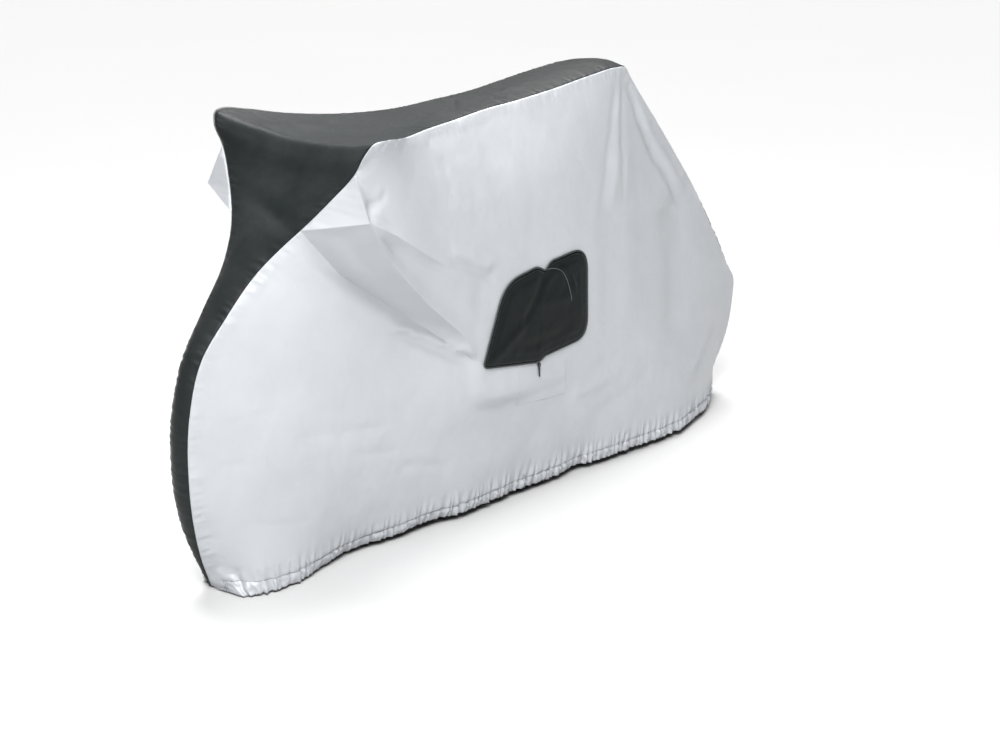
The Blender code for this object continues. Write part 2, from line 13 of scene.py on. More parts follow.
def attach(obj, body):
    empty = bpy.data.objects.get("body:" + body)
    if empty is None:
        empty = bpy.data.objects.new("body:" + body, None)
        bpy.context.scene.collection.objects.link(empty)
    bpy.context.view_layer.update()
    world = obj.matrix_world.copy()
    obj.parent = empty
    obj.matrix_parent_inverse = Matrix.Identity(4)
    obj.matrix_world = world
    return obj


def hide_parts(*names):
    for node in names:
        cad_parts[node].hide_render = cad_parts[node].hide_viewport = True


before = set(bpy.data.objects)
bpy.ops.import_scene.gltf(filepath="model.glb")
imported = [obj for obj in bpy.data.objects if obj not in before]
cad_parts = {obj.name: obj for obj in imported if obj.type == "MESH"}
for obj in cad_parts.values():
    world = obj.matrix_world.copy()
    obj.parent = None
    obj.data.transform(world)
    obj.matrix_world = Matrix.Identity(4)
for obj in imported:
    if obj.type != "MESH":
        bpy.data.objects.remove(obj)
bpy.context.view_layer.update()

# ---------------------------------------------------------------- the cover's shape
# These tables are the CAD's, with changes towards the photo: some held points by up to 18 mm, the
# pouch's lower corners by up to 12 mm, the gusset's rear corner, and one crease fewer at the pole.
SHEET = 0.0015          # thickness of the coated cloth with its seam allowances
SEAM_GAP = 0.0003       # clearance between neighbouring pieces
POUCH_SHEET = 0.0020    # the pouch panel is two layers of cloth
POUCH_REST = 0.0004     # clearance between the pouch panel and the cloth behind it
PIPING_RADIUS = 0.0020  # zip tape rolled round the pouch's edge
PLAIN_SOFTNESS = 0.045  # the cloth between its creases is rounded over this distance
CREASE_REACH = 0.050    # a crease keeps the cloth flat on both sides this far

CELL = 0.0070           # spacing of a side panel's inner points
HEM_CELL = 0.0028       # spacing of points along the hem
SEAM_CELL = 0.0042      # spacing of points along the seams
CREASE_CELL = 0.0045    # spacing of points along a crease
CELLS_ACROSS = 44       # cells of the gusset from seam to seam
ROW_ROOM = 0.93         # a row beside an edge keeps this share of its distance from all of the edge
HEM_ROOM = 0.97         # the same for the row of stitches above the hem
MERGED = 1e-6           # flat points closer than this become one
ON_CREASE = 1e-5        # and those closer than this to a crease lie on it
HEM_ROWS = np.array((3, 6, 9, 12, 15, 18, 21, 24, 27, 30, 34, 38, 43, 48)) * 0.001
SEAM_ROWS = np.array((3.5, 7, 10.5, 14.5, 19)) * 0.001

# The gusset, from the front hem round to the rear hem. x and z place its two seams, which lie
# half a width to each side of the middle plane. mid_dx and mid_dz carry its middle line off them:
# outward on the tyres, and down where the cloth sags between the ends of the handlebar.
# Columns: x, z, half width, mid_dx, mid_dz.
GUSSET_FRONT = {
    "front hem": (-0.838, 0.000, 0.006, 0.000, 0.000),
    "front low": (-0.862, 0.070, 0.012, -0.004, -0.001),
    "tyre low": (-0.885, 0.170, 0.025, -0.010, -0.002),
    "tyre front": (-0.891, 0.260, 0.029, -0.012, 0.000),
    "tyre high": (-0.880, 0.390, 0.030, -0.012, 0.003),
    "tyre top": (-0.843, 0.500, 0.030, -0.010, 0.006),
    "nose low": (-0.785, 0.578, 0.039, -0.007, 0.006),
    "nose": (-0.720, 0.655, 0.054, -0.009, 0.007),
    "nose high": (-0.662, 0.724, 0.096, -0.010, 0.007),
    "brow foot": (-0.648, 0.743, 0.112, -0.008, 0.004),
    "brow": (-0.613, 0.804, 0.164, 0.001, -0.009),
    "brow head": (-0.589, 0.861, 0.212, 0.011, -0.026),
    "bar front": (-0.586, 0.905, 0.243, 0.030, -0.037),
    "bar corner": (-0.575, 0.924, 0.254, 0.036, -0.037),
}
GUSSET_TOP = {
    "bar top": (-0.545, 0.929, 0.262, 0.027, -0.040),
    "bar rear": (-0.505, 0.924, 0.247, 0.025, -0.034),
    "neck wide": (-0.435, 0.912, 0.197, 0.015, -0.019),
    "neck": (-0.320, 0.904, 0.132, 0.004, -0.004),
    "waist": (-0.200, 0.905, 0.097, 0.000, 0.002),
    "waist rear": (-0.100, 0.913, 0.085, 0.000, 0.004),
    "top middle": (0.000, 0.919, 0.082, 0.000, 0.006),
    "saddle nose": (0.120, 0.932, 0.085, 0.000, 0.010),
    "saddle": (0.250, 0.948, 0.083, 0.000, 0.012),
    "saddle wide": (0.340, 0.954, 0.076, 0.001, 0.012),
    "saddle rear": (0.392, 0.946, 0.066, 0.005, 0.010),
    "saddle corner": (0.412, 0.925, 0.062, 0.009, 0.005),
}
GUSSET_REAR = {
    "rear slope": (0.450, 0.884, 0.059, 0.003, 0.002),
    "slope middle": (0.525, 0.807, 0.052, 0.000, 0.000),
    "slope low": (0.620, 0.705, 0.045, 0.001, 0.001),
    "wheel top": (0.722, 0.589, 0.037, 0.009, 0.007),
    "wheel high": (0.785, 0.500, 0.036, 0.018, 0.012),
    "wheel rear": (0.832, 0.430, 0.038, 0.018, 0.010),
    "over the corner": (0.866, 0.368, 0.042, 0.014, 0.007),
    "rear corner": (0.893, 0.326, 0.046, 0.009, 0.003),
    "rear middle": (0.897, 0.262, 0.044, 0.010, 0.000),
    "rear low": (0.890, 0.170, 0.035, 0.009, -0.001),
    "rear tuck": (0.868, 0.070, 0.014, 0.004, -0.001),
    "rear hem": (0.846, 0.010, 0.006, 0.000, 0.000),
}

# The hem, from the front tuck to the rear tuck. near_out and far_out are the near and the far
# panel's distances from the middle plane. The elastic draws the hem round the front wheel, closer
# on the far side, and lets it out over the cranks.
# Columns: x, near_out, far_out, z.
HEM = {
    "front tuck": (-0.838, 0.006, 0.006, 0.000),
    "front fold": (-0.836, 0.045, 0.020, 0.000),
    "front corner": (-0.828, 0.085, 0.032, 0.000),
    "front side": (-0.795, 0.116, 0.050, 0.001),
    "fork": (-0.700, 0.125, 0.080, 0.002),
    "wheel rear": (-0.550, 0.103, 0.098, 0.006),
    "frame front": (-0.400, 0.118, 0.116, 0.010),
    "crank front": (-0.200, 0.138, 0.134, 0.012),
    "crank": (0.030, 0.138, 0.146, 0.012),
    "stand front": (0.180, 0.142, 0.148, 0.012),
    "stand": (0.420, 0.165, 0.150, 0.012),
    "stand rear": (0.550, 0.160, 0.138, 0.012),
    "rear side": (0.660, 0.130, 0.110, 0.012),
    "rear corner": (0.770, 0.076, 0.066, 0.012),
    "rear fold": (0.828, 0.030, 0.028, 0.010),
    "rear tuck": (0.846, 0.006, 0.006, 0.010),
}
SIDES = {"near": -1, "far": 1}
# Where each side's waves start. Columns: the hem's wander, its gathers, the seam's puckers.
PHASES = {
    SIDES["near"]: (0.7, 0.4, 1.1),
    SIDES["far"]: (2.3, 1.9, 2.9),
}
LONGEST_MITRE = 1.5     # times the cloth's thickness
CLEAR_OUT = 0.600       # a place this far from the middle plane is off the cover
MIDDLE = (0.0, 0.0, 0.45)  # a place inside the cover, behind every part of the gusset
HEM_WAVE = 0.004        # how far the gathered hem wanders in and out
HEM_WAVE_PITCH = 0.230  # length of its main wave

# The points that hold each side panel out from the middle plane, between its rims: how far the
# near and the far panel stand off there. "pole" is where the handlebar's end holds them.
# Columns: x, z, near_out, far_out.
HOLDS = {
    "pole": (-0.597, 0.774, 0.262, 0.262),
    "ridge a": (-0.511, 0.670, 0.228, 0.222),
    "ridge b": (-0.385, 0.553, 0.194, 0.188),
    "ridge c": (-0.263, 0.455, 0.172, 0.166),
    "valley a": (-0.561, 0.639, 0.122, 0.132),
    "valley b": (-0.409, 0.528, 0.132, 0.140),
    "valley c": (-0.269, 0.424, 0.148, 0.148),
    "rib a": (-0.486, 0.718, 0.222, 0.216),
    "rib b": (-0.392, 0.663, 0.198, 0.192),
    "rib c": (-0.301, 0.609, 0.178, 0.172),
    "rib end": (-0.222, 0.561, 0.164, 0.159),
    "dimple": (-0.560, 0.820, 0.225, 0.230),
    "shoulder": (-0.440, 0.800, 0.205, 0.203),
    "upper front": (-0.300, 0.760, 0.174, 0.172),
    "upper middle": (-0.120, 0.720, 0.152, 0.148),
    "upper rear": (0.080, 0.740, 0.136, 0.130),
    "saddle side": (0.280, 0.760, 0.118, 0.114),
    "low nose": (-0.760, 0.440, 0.066, 0.060),
    "wheel high": (-0.665, 0.600, 0.098, 0.094),
    "wheel front": (-0.780, 0.220, 0.084, 0.062),
    "axle": (-0.620, 0.340, 0.108, 0.098),
    "wheel low": (-0.600, 0.150, 0.112, 0.100),
    "down tube": (-0.430, 0.350, 0.126, 0.122),
    "low front": (-0.360, 0.160, 0.124, 0.122),
    "chain ring": (-0.150, 0.200, 0.144, 0.138),
    "pedal": (0.060, 0.190, 0.150, 0.154),
    "chain": (0.300, 0.220, 0.150, 0.148),
    "rear axle": (0.500, 0.300, 0.138, 0.126),
    "rear low": (0.520, 0.140, 0.152, 0.132),
    "rear stay": (0.440, 0.500, 0.104, 0.102),
    "rear slope": (0.440, 0.700, 0.075, 0.075),
    "rear wheel": (0.650, 0.440, 0.084, 0.078),
    "tail": (0.760, 0.260, 0.082, 0.076),
}
# Crisp folds from one of these points to the next. The brow's foot and head are places on the
# gusset's seam.
SEAM_ENDS = {"brow foot": (-0.648, 0.743), "brow head": (-0.589, 0.861)}
CREASES = (
    ("pole", "ridge a", "ridge b", "ridge c", "pouch lower front"),
    ("brow foot", "valley a", "valley b", "valley c", "pouch lower front"),
    ("pole", "rib a", "rib b", "rib c", "rib end"),
    ("brow foot", "pole", "brow head"),
)

# The pouch lies in a plane. The plane's distance from the middle plane at POUCH_CENTRE (x, z) is
# POUCH_OUT, and it leans by POUCH_LEAN_X and POUCH_LEAN_Z for each metre along X and Z.
POUCH_CENTRE = (0.010, 0.440)
POUCH_OUT = 0.150
POUCH_LEAN_X = -0.060
POUCH_LEAN_Z = -0.055
POUCH_FLAT = {          # the cloth is flat this far to each side of the pouch's centre
    "front": -0.200,
    "rear": 0.200,
    "low": -0.158,
    "high": 0.126,
}
POUCH_FADE = 1.25       # the flat has faded out at this many times its size
POUCH_FRAME = {         # places round the pouch where the side panels lie in its plane, as x and z
    "pouch lower front": (-0.188, 0.352),
    "pouch upper front": (-0.130, 0.575),
    "pouch upper rear": (0.205, 0.575),
    "pouch lower rear": (0.205, 0.300),
    "pouch zip": (-0.006, 0.280),
}
# The pouch panel's corners in its plane, from its centre, with the round there. They run
# clockwise from the upper front corner.
# Columns: across, up, round.
POUCH_CORNERS = {
    "upper front": (-0.122, 0.092, 0.050),
    "notch front": (-0.010, 0.107, 0.012),
    "notch": (0.018, 0.092, 0.006),
    "notch rear": (0.040, 0.110, 0.012),
    "upper rear": (0.172, 0.120, 0.055),
    "lower rear": (0.164, -0.094, 0.045),
    "zip rear": (0.006, -0.103, 0.006),
    "zip": (-0.016, -0.113, 0.012),
    "lower front": (-0.206, -0.080, 0.016),
}
POUCH_STEPS = 8         # straight steps round each corner

# ---------------------------------------------------------------- the cloth's smaller relief
# Soft folds in the side panels, each along a curve from its start through its bend to its end.
# height is out of the cloth, so a negative one is a hollow. near and far are each side's share.
# Columns: start x, start z, bend x, bend z, end x, end z, height, half width, near, far.
FOLDS = {
    "dimple behind the pole": (-0.592, 0.772, -0.555, 0.790, -0.505, 0.818, -0.0050, 0.011, 1.0, 0.6),
    "rib": (-0.596, 0.775, -0.440, 0.692, -0.290, 0.606, 0.0050, 0.009, 1.0, 0.8),
    "under the rib": (-0.560, 0.742, -0.430, 0.674, -0.290, 0.594, -0.0050, 0.011, 1.0, 0.6),
    "rib's tail": (-0.310, 0.634, -0.242, 0.602, -0.140, 0.546, -0.0045, 0.009, 1.0, 0.5),
    "over the rib's tail": (-0.300, 0.652, -0.235, 0.620, -0.135, 0.566, 0.0035, 0.010, 1.0, 0.5),
    "under the valley": (-0.450, 0.512, -0.345, 0.466, -0.205, 0.388, 0.0060, 0.010, 1.0, 0.7),
    "second valley": (-0.440, 0.494, -0.345, 0.444, -0.209, 0.364, -0.0060, 0.011, 1.0, 0.7),
    "saddle fan a": (0.350, 0.940, 0.290, 0.790, 0.235, 0.600, -0.0030, 0.014, 1.0, 0.7),
    "saddle fan b": (0.362, 0.945, 0.320, 0.790, 0.285, 0.600, 0.0030, 0.014, 1.0, 0.9),
    "saddle fan c": (0.374, 0.940, 0.345, 0.790, 0.335, 0.620, -0.0035, 0.014, 1.0, 0.5),
    "saddle valley": (0.392, 0.930, 0.460, 0.740, 0.690, 0.540, -0.0060, 0.016, 1.0, 0.9),
    "saddle ridge": (0.400, 0.915, 0.500, 0.760, 0.700, 0.570, 0.0030, 0.012, 1.0, 0.6),
    "upper drag a": (-0.300, 0.850, -0.275, 0.800, -0.290, 0.730, -0.0020, 0.018, 1.0, -0.6),
    "upper drag b": (-0.180, 0.860, -0.150, 0.780, -0.170, 0.690, 0.0020, 0.025, 1.0, 0.8),
    "low drag a": (-0.700, 0.312, -0.566, 0.290, -0.400, 0.272, -0.0018, 0.012, 1.0, 0.7),
    "low drag b": (-0.560, 0.240, -0.470, 0.218, -0.400, 0.212, -0.0018, 0.010, 1.0, -0.8),
    "low drag c": (-0.420, 0.182, -0.339, 0.159, -0.250, 0.140, -0.0020, 0.012, 1.0, 0.7),
    "tyre drag a": (-0.850, 0.276, -0.793, 0.278, -0.730, 0.270, -0.0016, 0.008, 1.0, 0.9),
    "tyre drag b": (-0.830, 0.360, -0.763, 0.372, -0.690, 0.374, -0.0016, 0.009, 1.0, -0.6),
    "tyre drag c": (-0.800, 0.150, -0.713, 0.128, -0.640, 0.116, -0.0018, 0.010, 1.0, 0.8),
    "pouch drag low": (-0.180, 0.330, -0.060, 0.250, 0.060, 0.215, 0.0012, 0.026, 1.0, 0.8),
    "pouch drag rear": (0.110, 0.212, 0.220, 0.205, 0.330, 0.245, 0.0035, 0.020, 1.0, -0.5),
    "rear drag": (0.200, 0.140, 0.340, 0.150, 0.440, 0.205, -0.0035, 0.022, 1.0, 0.8),
    "broad rear ridge": (0.330, 0.800, 0.370, 0.560, 0.340, 0.290, 0.0090, 0.060, 1.0, 0.7),
    "broad rear hollow": (0.600, 0.640, 0.640, 0.420, 0.500, 0.200, -0.0180, 0.085, 1.0, 0.6),
    "tail drag": (0.560, 0.120, 0.660, 0.170, 0.760, 0.260, 0.0035, 0.018, 1.0, 0.6),
    "tail hollow": (0.600, 0.100, 0.700, 0.150, 0.800, 0.250, -0.0040, 0.014, 1.0, 0.8),
}
FOLD_STEPS = 14         # straight steps along a fold's curve
FOLD_ENDS = 0.22        # a fold rises and dies away over this share of its length

# Folds of the gusset, in space. Columns: start x, y, z, end x, y, z, height, half width.
GUSSET_FOLDS = {
    "brow": (-0.640, 0.110, 0.800, -0.640, -0.110, 0.730, -0.0050, 0.020),
    "top crease": (-0.170, -0.060, 0.910, -0.080, 0.040, 0.918, -0.0030, 0.010),
}

# How strongly the hem is gathered, and how far its band turns in under the cloth.
# Columns: x, gathers on the near side, on the far side, near turn, far turn.
HEM_DRAW = {
    "front": (-0.850, 1.00, 0.90, 0.004, 0.003),
    "front side": (-0.700, 0.90, 0.90, 0.004, 0.004),
    "fork": (-0.600, 0.70, 0.80, 0.009, 0.004),
    "frame": (-0.350, 0.80, 0.80, 0.010, 0.006),
    "crank": (-0.150, 1.15, 0.90, 0.005, 0.006),
    "stand": (0.200, 1.25, 1.00, 0.003, 0.005),
    "rear": (0.600, 1.25, 1.00, 0.003, 0.004),
    "tail": (0.850, 1.20, 1.00, 0.003, 0.003),
}
BAND = 0.024            # height of the hem's band, which the elastic runs in
BAND_PUFF = 0.0016      # the band's bulge between its edge and its stitches
BAND_CRINKLE = 0.0030   # crumpling of the band by its elastic
BAND_CRINKLE_SCALE = 62.0
STITCH_SINK = 0.0016    # how deep the row of stitches sits
STITCH_GROOVE = 0.0028  # half width of the groove it sits in
GATHER_PITCH = 0.0185   # the gathers' mean pitch
GATHER_HEIGHT = 0.0046
GATHER_REACH = 0.021    # they die away above the stitches over this distance
GATHER_PINCH = 0.45     # the stitches take away this share of their height
PINCH_REACH = 0.004     # up to this far from the stitches
# Below the first of these heights the cloth gathers level with the floor, above the second freely.
GATHER_LEVEL = (0.025, 0.090)
EDGE_WANDER = 0.0012    # up and down along the hem's edge
PUCKER_PITCH = 0.021    # puckers beside a seam
PUCKER_HEIGHT = 0.0014
PUCKER_REACH = 0.020
# How strongly each seam is puckered, by height. Columns: z, front, rear.
PUCKERS = {
    "hem": (0.00, 1.6, 1.5),
    "tyre": (0.25, 1.0, 0.8),
    "tyre high": (0.52, 0.9, 0.6),
    "nose": (0.70, 1.8, 0.5),
    "brow": (0.76, 0.5, 0.5),
    "bar": (0.90, 0.3, 0.8),
    "top": (0.95, 0.7, 1.0),
}
SEAM_RISE = 0.006       # a seam's own relief rises beside it over this distance
SEAM_PUFF = 0.0009      # the cloth stands up a little beside a seam
SEAM_FADE = 0.012       # that puff dies away, and soft folds set in, over this distance
SEAM_CLEAR = 0.030      # the cloth's unevenness sets in over this distance from a seam
HEM_CLEAR = 0.050       # and over this one above the hem's band
UNDULATION = 0.0022     # broad unevenness of the cloth
UNDULATION_SCALE = 7.0  # waves for each metre
CRUMPLE = 0.0007        # fine crumpling
CRUMPLE_SCALE = 26.0
# Each cloth's own place in the noise. Columns: x, y, z.
NOISE_PLACES = {
    SIDES["near"]: (1.7, -3.1, 0.4),
    0: (5.2, 0.3, 2.2),
    SIDES["far"]: (1.7, 3.1, 0.4),
}

STITCH_SIDES = 5        # faces round a thread
STITCH_SHARE = 0.78     # share of a stitch's length that its thread covers
# A stitch's thread. Columns: along it for its length, lift and width for the thread's thickness.
STITCH = {
    "start": (-0.50, -0.90, 0.55),
    "rise": (-0.36, 0.35, 0.95),
    "middle": (0.00, 0.75, 1.00),
    "fall": (0.36, 0.35, 0.95),
    "end": (0.50, -0.90, 0.55),
}
HEM_STITCH = 0.0040     # length of one stitch in the hem
HEM_THREAD = 0.0013     # thread thickness there
POUCH_STITCH = 0.0030
POUCH_THREAD = 0.0006
POUCH_INSET = 0.0045    # the pouch's stitches run this far inside its edge

POUCH_CELL = 0.0045     # spacing of the pouch panel's points
POUCH_PUFF = 0.0040     # the panel's two layers stand apart in its middle
POUCH_PUFF_REACH = 0.030       # they part over this distance from its edge
POUCH_EDGE_PUFF = 0.0012
POUCH_EDGE_WIDTH = 0.016
POUCH_FOLD_CLEAR = 0.010       # its folds set in over this distance from its edge
POUCH_CRUMPLE = 0.0007
POUCH_CRUMPLE_SCALE = 30.0
POUCH_CLEAR = (0.006, 0.030)  # the near panel's relief starts this far from the pouch, over this distance
COIL_PITCH = 0.0024     # pitch of the zip's coil
COIL_RINGS = 3          # rings of the tape to each turn of the coil
COIL_DEPTH = 0.07       # share of the tape's radius that its ribs rise and fall by
TAPE_SIDES = 12
# Folds of the pouch panel, in its plane from its centre. Columns as in FOLDS, up to half width.
POUCH_FOLDS = {
    "from the notch": (0.020, 0.100, -0.020, 0.030, -0.080, -0.020, -0.0030, 0.012),
    "from the front corner": (-0.195, -0.086, -0.120, -0.040, -0.050, -0.010, 0.0025, 0.012),
    "across the middle": (-0.060, 0.040, 0.030, 0.010, 0.120, 0.020, 0.0020, 0.016),
    "inside the rear edge": (0.060, 0.098, 0.118, 0.080, 0.122, 0.010, 0.0032, 0.005),
    "low": (-0.100, -0.060, 0.000, -0.075, 0.110, -0.060, -0.0020, 0.014),
}

# The edge of the pouch's inner flap, in the pouch's plane from its centre. Columns: along it, up it.
FLAP_EDGE = {
    "notch": (0.014, 0.096),
    "top": (0.044, 0.095),
    "shoulder": (0.072, 0.083),
    "turn": (0.090, 0.060),
    "side": (0.099, 0.036),
    "end": (0.105, 0.006),
}
FLAP_BINDING = 0.0018   # thickness of the binding on that edge
FLAP_STEP = 0.0020      # spacing of its rings
BINDING_SIDES = 10

# The patch sewn behind the zip's pull, in the near panel. Columns: x, z.
PATCH_LINE = {
    "upper front": (-0.076, 0.318),
    "lower front": (-0.074, 0.236),
    "lower rear": (0.098, 0.218),
    "upper rear": (0.094, 0.300),
}

# ---------------------------------------------------------------- colours, light and camera
SILVER_LIGHT = (0.518, 0.535, 0.560)
SILVER_SHADE = (0.470, 0.488, 0.514)
SILVER_WORN = (0.580, 0.592, 0.608)
CHARCOAL_LIGHT = (0.012, 0.015, 0.015)
CHARCOAL_SHADE = (0.006, 0.009, 0.009)
CHARCOAL_LINT = (0.030, 0.034, 0.035)
POUCH_LIGHT = (0.007, 0.010, 0.010)
POUCH_SHADE = (0.004, 0.006, 0.006)
TAPE_LIGHT = (0.060, 0.066, 0.066)
TAPE_SHADE = (0.020, 0.024, 0.024)
PULL_PAINT = (0.018, 0.019, 0.020)
PULL_METAL = (0.300, 0.300, 0.300)
FLOOR_LIGHT = (0.560, 0.560, 0.560)
FLOOR_SHADE = (0.545, 0.545, 0.545)
SILVER_WEAVE = 0.00060
CHARCOAL_WEAVE = 0.00070
POUCH_WEAVE = 0.00100
THREAD_TWIST = 0.00080
# The two colours that a thread's strands turn through.
DARK_THREAD = ((0.050, 0.055, 0.060), (0.160, 0.170, 0.180))
LIGHT_THREAD = ((0.340, 0.350, 0.370), (0.460, 0.480, 0.500))

FLOOR_Z = -0.0040       # just under the lowest cloth
FLOOR_SIZE = 400.0
WORLD_STRENGTH = 0.08
# Soft boxes that face LIGHT_AIM. Columns: azimuth, elevation, distance, side of the box, power.
LIGHT_AIM = (-0.2, 0.0, 0.45)
SOFT_BOXES = {
    "key": (-50.0, 46.0, 3.0, 1.4, 74.0),
    "fill": (-25.0, 60.0, 3.0, 1.6, 46.0),
}
# Broad distant lights. Columns: azimuth and elevation of the light, strength, angle across.
SUNS = {
    "left": (-60.0, 52.0, 0.8, 20.0),
    "overhead": (135.0, 65.0, 4.8, 40.0),
}
SUN_DISTANCE = 3.0      # where their lamps stand
CAMERA_TURN = -45.7
CAMERA_RISE = 19.3
CAMERA_DISTANCE = 3.8415
CAMERA_LENS = 57.6
CAMERA_SENSOR = 36.0
CAMERA_REACH = 200.0    # it sees this far
CAMERA_TARGET = (0.02925, 0.0, 0.246)


# ---------------------------------------------------------------- curves and tables
def columns(table):
    """A table's rows as an array."""
    return np.array(list(table.values()), float)


def between_rows(table, at, column):
    """A column of a table, read between its rows at places along its first column."""
    rows = columns(table)
    return np.interp(at, rows[:, 0], rows[:, column])


def run_length(points):
    steps = np.linalg.norm(np.diff(points, axis=0), axis=1)
    return np.concatenate(([0.0], np.cumsum(steps)))


def smooth_curve(knots, rows, at):
    """A smooth curve through rows at the given knots, read at the places in at."""
    slopes = np.gradient(rows, knots, axis=0)
    index = np.clip(np.searchsorted(knots, at, side="right") - 1, 0, len(knots) - 2)
    span = (knots[index + 1] - knots[index])[:, None]
    t = (np.asarray(at)[:, None] - knots[index][:, None]) / span
    start = (2 * t**3 - 3 * t**2 + 1) * rows[index] + (t**3 - 2 * t**2 + t) * span * slopes[index]
    end = (3 * t**2 - 2 * t**3) * rows[index + 1] + (t**3 - t**2) * span * slopes[index + 1]
    return start + end


def unit(vectors):
    return vectors / np.linalg.norm(vectors, axis=-1, keepdims=True)


def smooth_step(value):
    t = np.clip(value, 0.0, 1.0)
    return t * t * (3.0 - 2.0 * t)


def even_places(length, spacing):
    """Places along a length, evenly spaced by about the given distance, with both ends."""
    return np.linspace(0.0, length, max(2, int(round(length / spacing))) + 1)


def bent_curve(start, bend, end, steps):
    t = np.linspace(0.0, 1.0, steps + 1)[:, None]
    return (1 - t) ** 2 * np.array(start) + 2 * t * (1 - t) * np.array(bend) + t**2 * np.array(end)


def rounded_outline(corners):
    """A closed outline in x and z, from rows of x, z and the length of the round beside the corner."""
    spots, rounds = corners[:, :2], corners[:, 2:]
    starts = spots + rounds * unit(np.roll(spots, 1, axis=0) - spots)
    ends = spots + rounds * unit(np.roll(spots, -1, axis=0) - spots)
    return np.vstack([bent_curve(*corner, POUCH_STEPS) for corner in zip(starts, spots, ends)])


def offset_outline(outline, distance):
    """A closed clockwise outline moved outwards."""
    ahead = unit(np.roll(outline, -1, axis=0) - outline)
    middle = unit(ahead + np.roll(ahead, 1, axis=0))
    return outline + distance * np.stack((-middle[:, 1], middle[:, 0]), axis=1)


def inward_from(edge):
    """The directions into a clockwise outline, square to a part of its edge."""
    ahead = unit(np.gradient(edge, axis=0))
    return np.stack((ahead[:, 1], -ahead[:, 0]), axis=1)


def evenly_spaced(points, spacing):
    at = run_length(points)
    even = even_places(at[-1], spacing)
    return np.stack([np.interp(even, at, points[:, k]) for k in range(points.shape[1])], axis=1)


def closed_run(outline, spacing):
    return evenly_spaced(np.vstack((outline, outline[:1])), spacing)[:-1]


def filled(flat, edges):
    """The flat points inside the given edges, in their old order, and the triangles between them."""
    flat = [Vector(point) for point in flat]
    points, _, faces, origins, _, _ = delaunay_2d_cdt(flat, edges, [], 1, MERGED)
    faces = np.array(faces)
    used = np.unique(faces)
    order = used[np.argsort([min(origins[k]) for k in used], kind="stable")]
    renumber = np.zeros(len(points), int)
    renumber[order] = np.arange(len(order))
    return np.array([tuple(points[k]) for k in order]), renumber[faces]


# ---------------------------------------------------------------- the gusset
def gusset_stations():
    """The gusset's rows read evenly, as front, top and rear runs that share their end rows."""
    front, top, rear = columns(GUSSET_FRONT), columns(GUSSET_TOP), columns(GUSSET_REAR)
    rows = np.vstack((front, top, rear))
    knots = run_length(rows[:, :3])
    bar, saddle = knots[len(front) - 1], knots[len(front) + len(top) - 1]
    runs = (
        even_places(bar, SEAM_CELL),
        bar + even_places(saddle - bar, SEAM_CELL),
        saddle + even_places(knots[-1] - saddle, SEAM_CELL),
    )
    return np.vstack([smooth_curve(knots, rows, run)[first:] for run, first in zip(runs, (0, 1, 1))])


def gusset_sheet():
    """The gusset's rows of points from the far seam to the near seam, with its triangles.

    With them come the places of the points round it, and of each row's points."""
    x, z, half, mid_dx, mid_dz = gusset_stations().T[:, :, None]
    across = np.linspace(1.0, -1.0, CELLS_ACROSS + 1)
    crown = 1.0 - across**2
    rows = np.stack((x + crown * mid_dx, across * half, z + crown * mid_dz), axis=2)
    count, wide = rows.shape[:2]
    place = np.arange(count * wide).reshape(count, wide)
    low, right, up, far = place[:-1, :-1], place[:-1, 1:], place[1:, :-1], place[1:, 1:]
    first = np.stack((low, right, up), axis=2).reshape(-1, 3)
    second = np.stack((up, right, far), axis=2).reshape(-1, 3)
    rim = np.concatenate((place[:, 0], place[-1, 1:-1], place[::-1, -1], place[0, -2:0:-1]))
    return rows, np.vstack((first, second)), rim, place


# ---------------------------------------------------------------- the side panels
def hem_curve(side):
    """The hem from the rear tuck to the front tuck, without its two ends."""
    rows = columns(HEM)[:, (0, 1 if side < 0 else 2, 3)]
    knots = run_length(rows)
    at = even_places(knots[-1], HEM_CELL)
    curve = smooth_curve(knots, rows, at)
    ease = np.sin(np.pi * at / knots[-1]) ** 0.5
    phase = PHASES[side][0]
    turns = 2.0 * np.pi * at / HEM_WAVE_PITCH
    curve[:, 1] += HEM_WAVE * ease * (np.sin(turns + phase) + 0.6 * np.sin(1.45 * turns))
    curve[:, 2] += EDGE_WANDER * ease * uneven_wave(at, 3.0 * GATHER_PITCH, phase)
    return np.stack((curve[:, 0], side * curve[:, 1], curve[:, 2]), axis=1)[-2:0:-1]


def held_net(rim, side):
    """The rim and the held points as (x, z, out), the flat triangles between them, and the creases."""
    spots = [(x, z, side * y) for x, y, z in rim]
    names = {}
    for name, (x, z, near_out, far_out) in HOLDS.items():
        names[name] = len(spots)
        spots.append((x, z, near_out if side < 0 else far_out))
    for name, (x, z) in POUCH_FRAME.items():
        names[name] = len(spots)
        spots.append((x, z, pouch_plane(x, z)))
    for name, place in SEAM_ENDS.items():
        names[name] = int(np.argmin([math.dist(place, spot[:2]) for spot in spots[: len(rim)]]))
    edges = [(names[a], names[b]) for crease in CREASES for a, b in zip(crease, crease[1:])]
    flat = [Vector(spot[:2]) for spot in spots]
    points, _, faces, origins, _, _ = delaunay_2d_cdt(flat, edges, [], 0, MERGED)
    net = np.array([(point.x, point.y, spots[origin[0]][2]) for point, origin in zip(points, origins)])
    creases = [(spots[a][:2], spots[b][:2]) for a, b in edges]
    return net, np.array(faces), np.array(creases)


def beside_line(places, start, end):
    """For each place, how far along a straight line it is, from 0 to 1, and its distance to the line."""
    along = end - start
    share = np.clip(((places - start) @ along) / (along @ along), 0.0, 1.0)
    return share, np.linalg.norm(places - start - share[:, None] * along, axis=1)


def distance_to_lines(flat, lines):
    """Each flat point's distance to the nearest of some straight lines with two ends."""
    return np.min([beside_line(flat, start, end)[1] for start, end in lines], axis=0)


